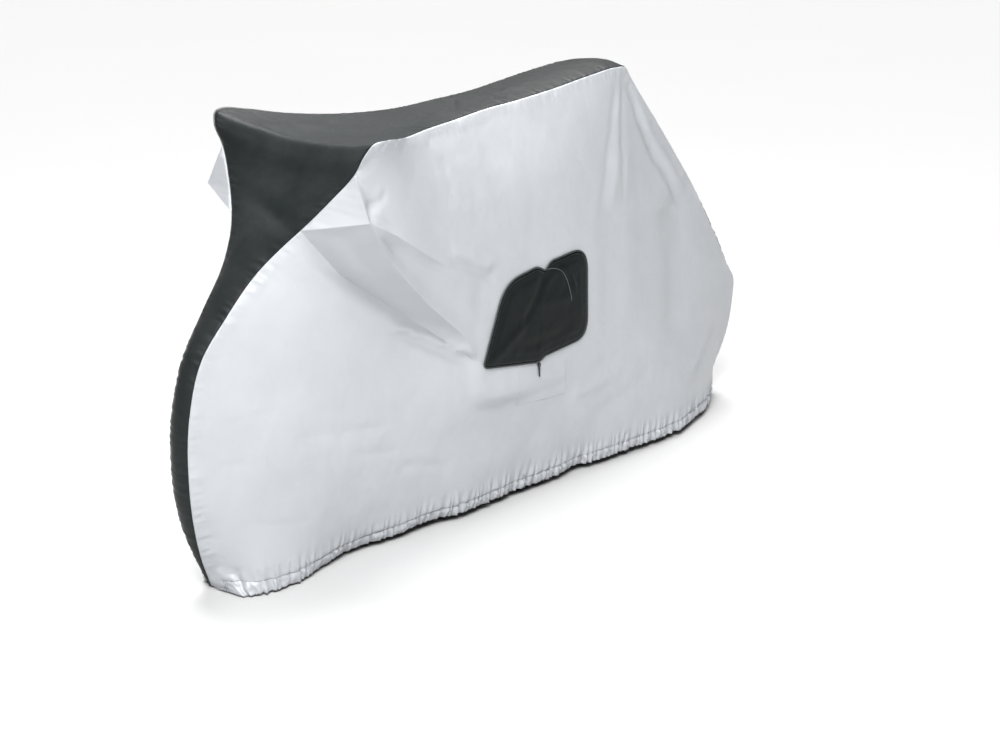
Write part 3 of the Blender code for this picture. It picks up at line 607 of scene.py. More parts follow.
def nearest_place(flat, line):
    """For each flat point, the nearest of a line's points and the distance to it."""
    place = np.empty(len(flat), int)
    gap = np.empty(len(flat))
    for first in range(0, len(flat), 4000):
        part = flat[first:first + 4000]
        square = ((part[:, None, :] - line[None, :, :]) ** 2).sum(axis=2)
        place[first:first + 4000] = square.argmin(axis=1)
        gap[first:first + 4000] = np.sqrt(square.min(axis=1))
    return place, gap


def inner_rows(edge, rows, closed_edge):
    """Rows of points beside an edge, at the given distances inside the closed outline it is part of."""
    inward = inward_from(edge)
    found = []
    for distance in rows:
        points = edge + distance * inward
        gap = nearest_place(points, closed_edge)[1]
        found.append(points[gap > ROW_ROOM * distance])
    return np.vstack(found)


def lattice_points(edge, cell, rise):
    """Points over an outline's box, a cell apart, in rows that stand a share of a cell apart."""
    low, high = edge.min(axis=0), edge.max(axis=0)
    return np.array([
        (x, z)
        for k, z in enumerate(np.arange(low[1], high[1], cell * rise))
        for x in np.arange(low[0] + 0.5 * cell * (k % 2), high[0], cell)
    ])


def thinned(points, spacing):
    """Points without those that lie closer than spacing to one kept before them."""
    kept, cells = [], {}
    for point in points:
        cell = (int(point[0] // spacing), int(point[1] // spacing))
        beside = [cells.get((cell[0] + i, cell[1] + j), ()) for i in (-1, 0, 1) for j in (-1, 0, 1)]
        if all(math.dist(point, other) > spacing for group in beside for other in group):
            kept.append(point)
            cells.setdefault(cell, []).append(point)
    return np.array(kept)


def panel_layout(rim, seam_count, creases):
    """Flat points that fill the rim in x and z, with their triangles. Edges follow the creases."""
    edge = rim[:, ::2]
    seam = edge[:seam_count]
    hem = np.vstack((edge[seam_count - 1:], edge[:1]))
    lines, edges = [], []
    flat = list(edge)
    for start, end in creases:
        shares = even_places(np.linalg.norm(end - start), CREASE_CELL)
        line = start + (end - start) * (shares / shares[-1])[:, None]
        edges += [(len(flat) + k, len(flat) + k + 1) for k in range(len(line) - 1)]
        flat += list(line)
        lines.append(line)
    lines = np.vstack(lines)
    beside = np.vstack((inner_rows(hem, HEM_ROWS, edge), inner_rows(seam, SEAM_ROWS, edge)))
    beside = beside[nearest_place(beside, lines)[1] > 0.6 * CREASE_CELL]
    beside = thinned(beside, 0.62 * HEM_CELL)
    inner = lattice_points(edge, CELL, math.sqrt(0.75))
    inner = inner[nearest_place(inner, lines)[1] > 0.8 * CREASE_CELL]
    inner = inner[nearest_place(inner, seam)[1] > SEAM_ROWS[-1] + 0.5 * CELL]
    inner = inner[nearest_place(inner, hem)[1] > HEM_ROWS[-1] + 0.5 * CELL]
    rim_edges = [(k, (k + 1) % len(edge)) for k in range(len(edge))]
    return filled(flat + list(beside) + list(inner), rim_edges + edges)


def soften(values, faces, fixed, reach):
    """Blurs values over a mesh of triangles over about the given distance. The first ones are fixed."""
    pairs = np.vstack((faces[:, (0, 1)], faces[:, (1, 2)], faces[:, (2, 0)]))
    pairs = np.vstack((pairs, pairs[:, ::-1]))
    count = np.bincount(pairs[:, 0], minlength=len(values))
    soft = values.copy()
    for _ in range(int(round(2.0 * (reach / CELL) ** 2))):
        around = np.bincount(pairs[:, 0], weights=soft[pairs[:, 1]], minlength=len(values)) / count
        soft[fixed:] = around[fixed:]
    return soft


def across_net(flat, net, faces):
    """The net's out at each flat point."""
    out = np.zeros(len(flat))
    for a, b, c in net[faces]:
        area = (b[0] - a[0]) * (c[1] - a[1]) - (c[0] - a[0]) * (b[1] - a[1])
        if abs(area) < 1e-9:
            continue
        to_b = ((flat[:, 0] - a[0]) * (c[1] - a[1]) - (c[0] - a[0]) * (flat[:, 1] - a[1])) / area
        to_c = ((b[0] - a[0]) * (flat[:, 1] - a[1]) - (flat[:, 0] - a[0]) * (b[1] - a[1])) / area
        inside = (to_b > -1e-6) & (to_c > -1e-6) & (to_b + to_c < 1 + 1e-6)
        out[inside] = (a[2] + to_b * (b[2] - a[2]) + to_c * (c[2] - a[2]))[inside]
    return out


def pouch_plane(x, z):
    """How far the flat cloth under the pouch stands off the middle plane."""
    return POUCH_OUT + POUCH_LEAN_X * (x - POUCH_CENTRE[0]) + POUCH_LEAN_Z * (z - POUCH_CENTRE[1])


def pouch_flat(x, z):
    """1 where the cloth lies in the pouch's plane, fading to 0 round it."""
    across = (x - POUCH_CENTRE[0]) / np.where(x < POUCH_CENTRE[0], POUCH_FLAT["front"], POUCH_FLAT["rear"])
    up = (z - POUCH_CENTRE[1]) / np.where(z < POUCH_CENTRE[1], POUCH_FLAT["low"], POUCH_FLAT["high"])
    reach = (across**6 + up**6) ** (1 / 6)
    return smooth_step((POUCH_FADE - reach) / (POUCH_FADE - 1.0))


def panel_shape(side, seam):
    """A side panel's points before its relief, its triangles, the length of its rim, and its creases.

    The first points run round its rim: the seam from the front hem to the rear hem, then the hem."""
    rim = np.vstack((seam, hem_curve(side)))
    net, net_faces, creases = held_net(rim, side)
    flat, faces = panel_layout(rim, len(seam), creases)
    taut = across_net(flat, net, net_faces)
    taut[: len(rim)] = side * rim[:, 1]
    plain = smooth_step(distance_to_lines(flat, creases) / CREASE_REACH)
    out = taut * (1 - plain) + soften(taut, faces, len(rim), PLAIN_SOFTNESS) * plain
    if side < 0:
        level = pouch_flat(flat[:, 0], flat[:, 1])
        out = out * (1 - level) + pouch_plane(flat[:, 0], flat[:, 1]) * level
    points = np.stack((flat[:, 0], side * out, flat[:, 1]), axis=1)
    points[: len(rim)] = rim
    return points, faces, len(rim), creases


# ---------------------------------------------------------------- relief
def uneven_wave(along, pitch, phase):
    """A wave of uneven pitch and height along a gathered edge, from about -1 to 1."""
    turns = 2.0 * np.pi * along / pitch
    bent = turns + 2.1 * np.sin(0.23 * turns + phase) + 1.2 * np.sin(0.61 * turns + 2.0 * phase)
    return np.sin(bent) * (0.72 + 0.28 * np.sin(0.17 * turns + 3.0 * phase))


def along_curve(places, curve, half_width):
    """How much of a fold's height there is at each place: its section across times its ends."""
    low, high = curve.min(axis=0) - 3 * half_width, curve.max(axis=0) + 3 * half_width
    near = np.flatnonzero(np.all((places > low) & (places < high), axis=1))
    share, gap = np.zeros(len(near)), np.full(len(near), np.inf)
    for k in range(FOLD_STEPS):
        part, distance = beside_line(places[near], curve[k], curve[k + 1])
        closer = distance < gap
        gap[closer] = distance[closer]
        share[closer] = (k + part[closer]) / FOLD_STEPS
    ends = smooth_step(share / FOLD_ENDS) * smooth_step((1 - share) / FOLD_ENDS)
    amount = np.zeros(len(places))
    amount[near] = np.exp(-((gap / half_width) ** 2)) * ends
    return amount


def noise_at(points, scale, octaves, shift):
    """Smooth fractal noise in space, from about -1 to 1."""
    return np.array([fractal(Vector(point) * scale + shift, 0.9, 2.1, octaves) for point in points])


def clear_of_pouch(flat, outline):
    """0 under the pouch, rising to 1 a little way outside its outline."""
    across = flat - np.array(POUCH_CENTRE)
    inside = np.zeros(len(flat), bool)
    for a, b in zip(outline, np.roll(outline, -1, axis=0)):
        crosses = (a[1] > across[:, 1]) != (b[1] > across[:, 1])
        with np.errstate(divide="ignore", invalid="ignore"):
            x = a[0] + (across[:, 1] - a[1]) * (b[0] - a[0]) / (b[1] - a[1])
        inside ^= crosses & (across[:, 0] < x)
    gap = nearest_place(across, outline)[1]
    return np.where(inside, 0.0, smooth_step((gap - POUCH_CLEAR[0]) / POUCH_CLEAR[1]))


def hem_relief(flat, hem, side):
    """Relief of the hem's band, its gathers and its turn inwards, and each point's distance to the hem."""
    place, gap = nearest_place(flat, hem)
    along = run_length(hem)[place]
    strength, turn = [between_rows(HEM_DRAW, hem[place, 0], k) for k in ((1, 3) if side < 0 else (2, 4))]
    fade = np.exp(-((np.maximum(gap - BAND, 0.0) / GATHER_REACH) ** 1.5))
    pinch = 1.0 - GATHER_PINCH * np.exp(-(((gap - BAND) / PINCH_REACH) ** 2))
    wave = uneven_wave(along + 0.15 * gap, GATHER_PITCH, PHASES[side][1])
    fine = uneven_wave(along - 0.3 * gap, 0.61 * GATHER_PITCH, 2.6)
    in_band = smooth_step((BAND - gap) / PINCH_REACH)
    relief = GATHER_HEIGHT * strength * fade * pinch * (wave + 0.45 * fine * (0.4 + 0.6 * in_band))
    relief += BAND_PUFF * np.sin(np.pi * np.clip(gap / BAND, 0.0, 1.0))
    relief -= STITCH_SINK * np.exp(-(((gap - BAND) / STITCH_GROOVE) ** 2))
    return relief - turn * np.clip(1.0 - gap / (1.6 * BAND), 0.0, 1.0) ** 2, gap


def seam_profile(wave, gap):
    """A seam's puckers, which follow the wave along it, and its puff, at a distance from it."""
    puckers = PUCKER_HEIGHT * wave * np.exp(-((gap / PUCKER_REACH) ** 2))
    return smooth_step(gap / SEAM_RISE) * (puckers + SEAM_PUFF * np.exp(-gap / SEAM_FADE))


def unevenness(points, shift):
    """The cloth's broad unevenness and its fine crumpling."""
    broad = UNDULATION * noise_at(points, UNDULATION_SCALE, 2, shift)
    return broad + CRUMPLE * noise_at(points, CRUMPLE_SCALE, 3, shift)


def seam_relief(flat, seam, side):
    place, gap = nearest_place(flat, seam)
    strength = [between_rows(PUCKERS, seam[place, 1], k) for k in (1, 2)]
    wave = uneven_wave(run_length(seam)[place], PUCKER_PITCH, PHASES[side][2])
    return seam_profile(wave * np.where(seam[place, 0] < 0.0, *strength), gap), gap


def panel_relief(points, side, seam_count, rim_count, outline):
    """How far each point of a side panel stands out of its plain shape."""
    flat = points[:, ::2]
    seam = flat[:seam_count]
    hem = np.vstack((flat[seam_count - 1:rim_count], flat[:1]))
    at_hem, hem_gap = hem_relief(flat, hem, side)
    at_seam, seam_gap = seam_relief(flat, seam, side)
    away = smooth_step(seam_gap / SEAM_CLEAR) * smooth_step((hem_gap - 0.5 * BAND) / HEM_CLEAR)
    shift = Vector(NOISE_PLACES[side])
    relief = at_hem + at_seam + away * unevenness(points, shift)
    off_seam = smooth_step(seam_gap / SEAM_FADE)
    for x0, z0, x1, z1, x2, z2, height, half_width, near, far in FOLDS.values():
        share = near if side < 0 else far
        curve = bent_curve((x0, z0), (x1, z1), (x2, z2), FOLD_STEPS)
        amount = along_curve(points, points[nearest_place(curve, flat)[0]], half_width)
        relief += share * height * amount * off_seam * smooth_step(hem_gap / BAND)
    band = off_seam * smooth_step((1.15 * BAND - hem_gap) / SEAM_RISE)
    relief += BAND_CRINKLE * band * noise_at(points, BAND_CRINKLE_SCALE, 3, shift)
    if side < 0:
        relief *= clear_of_pouch(flat, outline)
    relief[:seam_count] = 0.0
    return relief


def gusset_relief(rows):
    """How far each point of the gusset stands out of its plain shape."""
    steps = np.linalg.norm(np.diff(rows, axis=1), axis=2)
    from_far = np.concatenate((np.zeros((len(rows), 1)), np.cumsum(steps, axis=1)), axis=1)
    gap = np.minimum(from_far, from_far[:, -1:] - from_far).reshape(-1)
    points, wide = rows.reshape(-1, 3), rows.shape[1]
    along = np.repeat(run_length(rows[:, wide // 2]), wide)
    wave = uneven_wave(along, PUCKER_PITCH, 0.3) * np.where(points[:, 1] < 0, 1.0, -1.0)
    away = smooth_step(gap / SEAM_CLEAR)
    relief = seam_profile(wave, gap) + away * unevenness(points, Vector(NOISE_PLACES[0]))
    for x0, y0, z0, x1, y1, z1, height, half_width in GUSSET_FOLDS.values():
        start, end = np.array((x0, y0, z0)), np.array((x1, y1, z1))
        curve = bent_curve(start, 0.5 * (start + end), end, FOLD_STEPS)
        relief += height * away * along_curve(points, curve, half_width)
    return relief


# ---------------------------------------------------------------- thickness
def point_normals(points, faces, outward):
    """Unit normals at a sheet's points, turned to the side that outward points to."""
    a, b, c = points[faces.T]
    turned = np.cross(b - a, c - a)
    turned *= np.sign(np.sum(turned * outward[faces[:, 0]], axis=1, keepdims=True))
    normals = np.zeros_like(points)
    for corner in faces.T:
        np.add.at(normals, corner, turned)
    return unit(normals)


def mitre(first, second):
    """One direction of thickness for both sides of a seam, long enough to keep the thickness."""
    shared = first + second
    length = np.linalg.norm(shared, axis=1, keepdims=True)
    return shared / length * np.minimum(2.0 / length, LONGEST_MITRE)


def draw_back(points, faces, seam):
    """Moves a sheet's seam points half a gap into the sheet, square to the seam."""
    moved = points.copy()
    along = unit(np.gradient(points[seam], axis=0))
    middles = points[faces].mean(axis=1)
    inward = np.zeros_like(points)
    for corner in faces.T:
        np.add.at(inward, corner, middles - points[corner])
    inward = inward[seam]
    inward -= np.sum(inward * along, axis=1, keepdims=True) * along
    moved[seam] += 0.5 * SEAM_GAP * unit(inward)
    return moved


# ---------------------------------------------------------------- objects
def add_object(name, mesh, material):
    item = bpy.data.objects.new(name, mesh)
    bpy.context.scene.collection.objects.link(item)
    item.data.materials.append(material)
    return item


def smooth_mesh(name, points, faces):
    mesh = bpy.data.meshes.new(name)
    mesh.from_pydata([tuple(point) for point in points], [], [tuple(int(k) for k in face) for face in faces])
    mesh.update()
    mesh.shade_smooth()
    return mesh


def sheet_object(name, outer, inner, faces, rim, material):
    """A closed sheet between an outer and an inner layer of points."""
    count = len(outer)
    pairs = np.sort(np.stack((rim, np.roll(rim, -1)), axis=1), axis=1)
    walls = np.vstack((
        np.stack((pairs[:, 0], pairs[:, 1], pairs[:, 1] + count), axis=1),
        np.stack((pairs[:, 0], pairs[:, 1] + count, pairs[:, 0] + count), axis=1),
    ))
    mesh = smooth_mesh(name, np.vstack((outer, inner)), np.vstack((faces, faces + count, walls)))
    shape = bmesh.new()
    shape.from_mesh(mesh)
    bmesh.ops.recalc_face_normals(shape, faces=shape.faces)
    shape.to_mesh(mesh)
    shape.free()
    return add_object(name, mesh, material)


def sharpen_folds(mesh, flat, creases):
    """The edges along a side panel's crisp folds catch the light as edges, in both of its layers."""
    pairs = np.array([edge.vertices[:] for edge in mesh.edges]) % len(flat)
    starts, ends = flat[pairs[:, 0]], flat[pairs[:, 1]]
    along = pairs[:, 0] != pairs[:, 1]
    for places in (starts, 0.5 * (starts + ends), ends):
        along &= distance_to_lines(places, creases) < ON_CREASE
    for index in np.flatnonzero(along):
        mesh.edges[int(index)].use_edge_sharp = True


def make_sheets(outline, silver, charcoal):
    """The side panels and the gusset, which share their directions of thickness at the seams.

    With each panel come the tree of its outer face and the points of its hem."""
    rows, gusset_faces, gusset_rim, place = gusset_sheet()
    gusset = rows.reshape(-1, 3)
    outward = gusset - np.array(MIDDLE)
    normals = point_normals(gusset, gusset_faces, outward)
    gusset = gusset + gusset_relief(rows)[:, None] * normals
    gusset_normals = point_normals(gusset, gusset_faces, outward)
    panels, gusset_seams = {}, []
    for name, side in SIDES.items():
        edge = -1 if side < 0 else 0
        points, faces, rim_count, creases = panel_shape(side, rows[:, edge])
        flat = points[:, ::2].copy()
        square = np.tile((0.0, side, 0.0), (len(points), 1))
        normals = point_normals(points, faces, square)
        relief = panel_relief(points, side, len(rows), rim_count, outline)
        low, high = GATHER_LEVEL
        normals[:, 2] *= smooth_step((points[:, 2] - low) / (high - low))
        points = points + relief[:, None] * normals
        normals = point_normals(points, faces, square)
        rim = np.arange(rim_count)
        panel_seam, gusset_seam = rim[:len(rows)], place[:, edge]
        shared = mitre(gusset_normals[gusset_seam], normals[panel_seam])
        normals[panel_seam] = gusset_normals[gusset_seam] = shared
        gusset_seams.append(gusset_seam)
        layers = [draw_back(layer, faces, panel_seam) for layer in (points, points - SHEET * normals)]
        cloth = sheet_object(name + "_side_cloth", *layers, faces, rim, silver)
        sharpen_folds(cloth.data, flat, creases)
        panels[name] = (cloth, face_tree(layers[0], faces), layers[0][len(rows):rim_count])
    layers = [gusset, gusset - SHEET * gusset_normals]
    for seam in gusset_seams:
        layers = [draw_back(layer, gusset_faces, seam) for layer in layers]
    return panels, sheet_object("gusset_cloth", *layers, gusset_faces, gusset_rim, charcoal)


# ---------------------------------------------------------------- stitches
def face_tree(points, faces):
    return BVHTree.FromPolygons(points.tolist(), faces.tolist())


def on_cloth(tree, flat, side):
    """Places and normals on a panel's outer face, at points in x and z."""
    places, normals = [], []
    for x, z in flat:
        place, normal, _, _ = tree.ray_cast(Vector((x, side * CLEAR_OUT, z)), Vector((0.0, -side, 0.0)))
        if place is not None:
            places.append(np.array(place))
            normals.append(np.array(normal) * np.sign(normal.y * side))
    return np.array(places), np.array(normals)


def tube_faces(rings, sides, first=0, closed=False):
    """The faces between a tube's rings of points, which start with the point first."""
    faces = []
    for ring in range(rings if closed else rings - 1):
        low, high = first + ring * sides, first + (ring + 1) % rings * sides
        for k in range(sides):
            right = (k + 1) % sides
            faces.append((low + k, low + right, high + right, high + k))
    return faces


def stitch_mesh(name, places, normals, length, thickness, material):
    """A row of lockstitches: short threads that lie on the cloth and dive into it at both ends."""
    stitch = columns(STITCH)
    ends, lift = stitch[:, 0] * length * STITCH_SHARE, stitch[:, 1] * thickness
    wide = stitch[:, 2] * 0.5 * thickness
    turns = np.linspace(0.0, 2.0 * np.pi, STITCH_SIDES + 1)[:-1]
    along = unit(np.gradient(places, axis=0))
    points, faces = [], []
    for place, ahead, up, beside in zip(places, along, normals, np.cross(normals, along)):
        faces += tube_faces(len(ends), STITCH_SIDES, len(points))
        for end, height, radius in zip(ends, lift, wide):
            middle = place + end * ahead + height * up
            points += [middle + radius * (math.cos(turn) * beside + math.sin(turn) * up) for turn in turns]
    return add_object(name, smooth_mesh(name, points, faces), material)


def hem_stitches(name, tree, rim, side, material):
    """The row of stitches that closes the hem's band."""
    hem = rim[:, ::2]
    line = hem + BAND * inward_from(hem)
    line = line[nearest_place(line, hem)[1] > HEM_ROOM * BAND]
    places, normals = on_cloth(tree, evenly_spaced(line, HEM_STITCH), side)
    return stitch_mesh(name, places, normals, HEM_STITCH, HEM_THREAD, material)


# ---------------------------------------------------------------- the pouch
def pouch_axes():
    """The pouch plane's origin, its directions along the bicycle and up, and the way out of it."""
    origin = np.array((POUCH_CENTRE[0], -POUCH_OUT, POUCH_CENTRE[1]))
    along_it = unit(np.array((1.0, -POUCH_LEAN_X, 0.0)))
    out_of_it = unit(np.array((-POUCH_LEAN_X, -1.0, -POUCH_LEAN_Z)))
    return origin, along_it, np.cross(out_of_it, along_it), out_of_it


def in_pouch(flat, lift):
    """Places in space for points in the pouch's plane, lifted out of it."""
    origin, along_it, up_it, out_of_it = pouch_axes()
    lift = np.broadcast_to(lift, (len(flat),))[:, None]
    return origin + flat[:, 0:1] * along_it + flat[:, 1:2] * up_it + lift * out_of_it


def on_pouch(tree, flat):
    """Places and normals on the pouch panel's outer face, at points in its plane."""
    return on_cloth(tree, in_pouch(flat, 0.0)[:, ::2], SIDES["near"])


def make_pouch_panel(outline, material):
    """The pouch's panel: two layers of cloth that stand off a little, with soft folds. And its tree."""
    rim = closed_run(outline, POUCH_CELL)
    inner = lattice_points(rim, POUCH_CELL, 0.87)
    inner = inner[nearest_place(inner, rim)[1] > 0.6 * POUCH_CELL]
    edges = [(k, (k + 1) % len(rim)) for k in range(len(rim))]
    flat, faces = filled(np.vstack((rim, inner)), edges)
    gap = nearest_place(flat, rim)[1]
    gap[: len(rim)] = 0.0
    relief = POUCH_PUFF * smooth_step(gap / POUCH_PUFF_REACH)
    relief += POUCH_EDGE_PUFF * np.sin(np.pi * np.clip(gap / POUCH_EDGE_WIDTH, 0.0, 1.0))
    for x0, z0, x1, z1, x2, z2, height, half_width in POUCH_FOLDS.values():
        curve = bent_curve((x0, z0), (x1, z1), (x2, z2), FOLD_STEPS)
        relief += height * along_curve(flat, curve, half_width) * smooth_step(gap / POUCH_FOLD_CLEAR)
    crumple = POUCH_CRUMPLE * noise_at(in_pouch(flat, 0.0), POUCH_CRUMPLE_SCALE, 3, Vector())
    relief += smooth_step(gap / SEAM_FADE) * crumple
    outer = in_pouch(flat, POUCH_REST + POUCH_SHEET + np.maximum(relief, -0.6 * POUCH_SHEET))
    layers = (outer, in_pouch(flat, POUCH_REST))
    panel = sheet_object("pouch_cloth_panel", *layers, faces, np.arange(len(rim)), material)
    return panel, face_tree(outer, faces)


def ring_tube(name, centres, radii, sides, material, closed):
    """A tube round a path in the pouch's plane, with a radius at each of its points."""
    out_of_it = pouch_axes()[3]
    ahead = np.gradient(centres, axis=0)
    if closed:
        ahead = np.roll(centres, -1, axis=0) - np.roll(centres, 1, axis=0)
    beside = np.cross(out_of_it, unit(ahead))
    turns = np.linspace(0.0, 2.0 * np.pi, sides + 1)[:-1]
    points = np.vstack([
        centre + radius * (np.cos(turns)[:, None] * side + np.sin(turns)[:, None] * out_of_it)
        for centre, radius, side in zip(centres, radii, beside)
    ])
    faces = tube_faces(len(centres), sides, closed=closed)
    if not closed:
        faces += [range(sides), range(len(points) - 1, len(points) - sides - 1, -1)]
    return add_object(name, smooth_mesh(name, points, faces), material)


def make_zip_tape(outline, material):
    """The rolled zip tape round the pouch panel, ribbed by the zip's coil."""
    ring = closed_run(offset_outline(outline, PIPING_RADIUS + SEAM_GAP), COIL_PITCH / COIL_RINGS)
    centres = in_pouch(ring, POUCH_REST + PIPING_RADIUS)
    ribs = 1.0 - np.cos(2.0 * np.pi * np.arange(len(ring)) / COIL_RINGS)
    radii = PIPING_RADIUS * (1.0 - COIL_DEPTH * ribs)
    return ring_tube("pouch_zip_tape", centres, radii, TAPE_SIDES, material, closed=True)


def make_flap_binding(tree, material):
    """The bound edge of the pouch's inner flap, which lies on the pouch panel."""
    knots = columns(FLAP_EDGE)
    at = run_length(knots)
    curve = smooth_curve(at, knots, np.linspace(0.0, at[-1], 12 * len(knots)))
    places = on_pouch(tree, evenly_spaced(curve, FLAP_STEP))[0]
    radii = np.full(len(places), 0.5 * FLAP_BINDING)
    return ring_tube("pouch_flap_binding", places, radii, BINDING_SIDES, material, closed=False)


# ---------------------------------------------------------------- materials
class Shader:
    """A material's nodes, made one after another."""

    def __init__(self, name):
        self.material = bpy.data.materials.new(name)
        self.material.use_nodes = True
        self.tree = self.material.node_tree
        self.surface = self.tree.nodes["Principled BSDF"]
        self.place = self.node("ShaderNodeTexCoord").outputs["Object"]

    def node(self, kind, inputs=(), **settings):
        made = self.tree.nodes.new(kind)
        for key, value in settings.items():
            setattr(made, key, value)
        for key, value in dict(inputs).items():
            self.set(made.inputs[key], value)
        return made

    def set(self, socket, value):
        if isinstance(value, bpy.types.NodeSocket):
            self.tree.links.new(value, socket)
        else:
            socket.default_value = value

    def noise(self, scale, detail=3.0, roughness=0.55, distortion=0.0):
        inputs = {"Vector": self.place, "Scale": scale, "Detail": detail, "Roughness": roughness}
        return self.node("ShaderNodeTexNoise", {**inputs, "Distortion": distortion}).outputs["Fac"]

    def threads(self, direction, pitch):
        """The rise and fall of threads that run across a direction."""
        inputs = {"Vector": self.place, "Scale": 2.0 * math.pi / (20.0 * pitch), "Distortion": 0.0}
        settings = {"wave_type": "BANDS", "bands_direction": direction}
        return self.node("ShaderNodeTexWave", inputs, **settings).outputs["Fac"]

    def weave(self, pitch, second="Z"):
        """A plain weave of threads across X and across a second direction."""
        return self.math("MULTIPLY", self.threads("X", pitch), self.threads(second, pitch))

    def math(self, operation, first, second):
        return self.node("ShaderNodeMath", {0: first, 1: second}, operation=operation).outputs[0]

    def spread(self, value, to_low, to_high, low=0.3, high=0.7):
        inputs = {"Value": value, "From Min": low, "From Max": high, "To Min": to_low, "To Max": to_high}
        return self.node("ShaderNodeMapRange", inputs).outputs["Result"]

    def blend(self, amount, first, second):
        """From the first colour to the second. Each is a socket, or red, green and blue."""
        made = self.node("ShaderNodeMix", data_type="RGBA")
        for place, value in zip((0, 6, 7), (amount, first, second)):
            self.set(made.inputs[place], (*value, 1.0) if isinstance(value, tuple) else value)
        return made.outputs[2]

    def mottled(self, mottle, shade, light):
        return self.blend(self.spread(mottle, 0.0, 1.0), shade, light)

    def bump(self, height, distance, strength, under=None):
        inputs = {"Height": height, "Distance": distance, "Strength": strength}
        if under is not None:
            inputs["Normal"] = under
        return self.node("ShaderNodeBump", inputs).outputs["Normal"]

    def finish(self, **inputs):
        for key, value in inputs.items():
            self.set(self.surface.inputs[key.replace("_", " ")], value)
        return self.material


def silver_material():
    """Nylon taffeta with a silver coating: soft gloss, fine crinkles and a faint mottle."""
    s = Shader("silver_coated_nylon")
    mottle, worn = s.noise(6.0, 4.0, 0.6), s.noise(38.0, 5.0, 0.7)
    colour = s.mottled(mottle, SILVER_SHADE, SILVER_LIGHT)
    colour = s.blend(s.spread(worn, 0.0, 0.35, 0.62, 0.80), colour, SILVER_WORN)
    rough = s.spread(s.math("ADD", mottle, worn), 0.40, 0.54, 0.7, 1.3)
    normal = s.bump(s.noise(24.0, 4.0, 0.6, distortion=0.6), 0.0016, 0.55)
    normal = s.bump(s.noise(90.0, 3.0, 0.6), 0.0004, 0.45, normal)
    normal = s.bump(s.weave(SILVER_WEAVE), 0.00004, 0.5, normal)
    return s.finish(
        Base_Color=colour, Roughness=rough, Metallic=0.14, Normal=normal,
        Sheen_Weight=0.05, Sheen_Roughness=0.4
    )


def charcoal_material():
    """Matt dark nylon with a sheen that shows at a low angle."""
    s = Shader("charcoal_nylon")
    mottle, lint = s.noise(8.0, 4.0, 0.6), s.noise(140.0, 2.0, 0.5)
    colour = s.mottled(mottle, CHARCOAL_SHADE, CHARCOAL_LIGHT)
    colour = s.blend(s.spread(lint, 0.0, 0.25, 0.66, 0.80), colour, CHARCOAL_LINT)
    rough = s.spread(mottle, 0.50, 0.62)
    normal = s.bump(s.noise(26.0, 4.0, 0.6, distortion=0.5), 0.0014, 0.5)
    normal = s.bump(s.weave(CHARCOAL_WEAVE, "Y"), 0.00006, 0.5, normal)
    return s.finish(
        Base_Color=colour, Roughness=rough, Normal=normal, Specular_IOR_Level=0.28,
        Sheen_Weight=0.30, Sheen_Roughness=0.25
    )


def pouch_material():
    """Black nylon, a coarser plain weave."""
    s = Shader("pouch_nylon")
    mottle = s.noise(14.0, 4.0, 0.6)
    colour = s.mottled(mottle, POUCH_SHADE, POUCH_LIGHT)
    rough = s.spread(mottle, 0.48, 0.60)
    normal = s.bump(s.noise(45.0, 4.0, 0.6), 0.0010, 0.5)
    normal = s.bump(s.weave(POUCH_WEAVE), 0.00010, 0.7, normal)
    return s.finish(
        Base_Color=colour, Roughness=rough, Normal=normal, Specular_IOR_Level=0.14,
        Sheen_Weight=0.04, Sheen_Roughness=0.3
    )


def tape_material():
    s = Shader("zip_tape")
    mottle = s.noise(60.0, 3.0, 0.6)
    colour = s.blend(mottle, TAPE_SHADE, TAPE_LIGHT)
    rough = s.spread(mottle, 0.42, 0.56)
    return s.finish(Base_Color=colour, Roughness=rough, Normal=s.bump(s.noise(700.0, 2.0, 0.5), 0.0002, 0.5))


def thread_material(name, shade, light):
    """Twisted polyester thread."""
    s = Shader(name)
    twist = s.threads("DIAGONAL", THREAD_TWIST)
    colour = s.blend(s.math("MULTIPLY", twist, s.noise(200.0)), shade, light)
    return s.finish(Base_Color=colour, Roughness=0.5, Normal=s.bump(twist, 0.00008, 0.6))


def pull_material():
    """Painted zinc, with the paint rubbed thin."""
    s = Shader("painted_pull")
    rub = s.noise(420.0, 5.0, 0.7)
    colour = s.blend(s.spread(rub, 0.0, 1.0, 0.60, 0.72), PULL_PAINT, PULL_METAL)
    metal = s.spread(rub, 0.1, 0.9, 0.60, 0.72)
    rough = s.spread(rub, 0.32, 0.46)
    return s.finish(Base_Color=colour, Metallic=metal, Roughness=rough, Normal=s.bump(rub, 0.00008, 0.4))


def floor_material():
    s = Shader("pale_floor")
    return s.finish(Base_Color=s.blend(s.noise(0.7, 2.0, 0.5), FLOOR_SHADE, FLOOR_LIGHT), Roughness=0.9)


# ---------------------------------------------------------------- stage
def make_stage():
    half = FLOOR_SIZE / 2.0
    corners = [(x * half, y * half, FLOOR_Z) for x, y in ((-1, -1), (1, -1), (1, 1), (-1, 1))]
    floor = add_object("floor", smooth_mesh("floor", corners, [(0, 1, 2, 3)]), floor_material())


def face_target(data, target, turn, rise, distance):
    """Adds a light or a camera that faces the target, from this azimuth and elevation in degrees."""
    a, e = math.radians(turn), math.radians(rise)
    back = Vector((math.sin(a) * math.cos(e), -math.cos(a) * math.cos(e), math.sin(e)))
    item = bpy.data.objects.new(data.name, data)
    item.location = Vector(target) + distance * back
    item.rotation_euler = back.to_track_quat("Z", "Y").to_euler()
    bpy.context.scene.collection.objects.link(item)
    return item


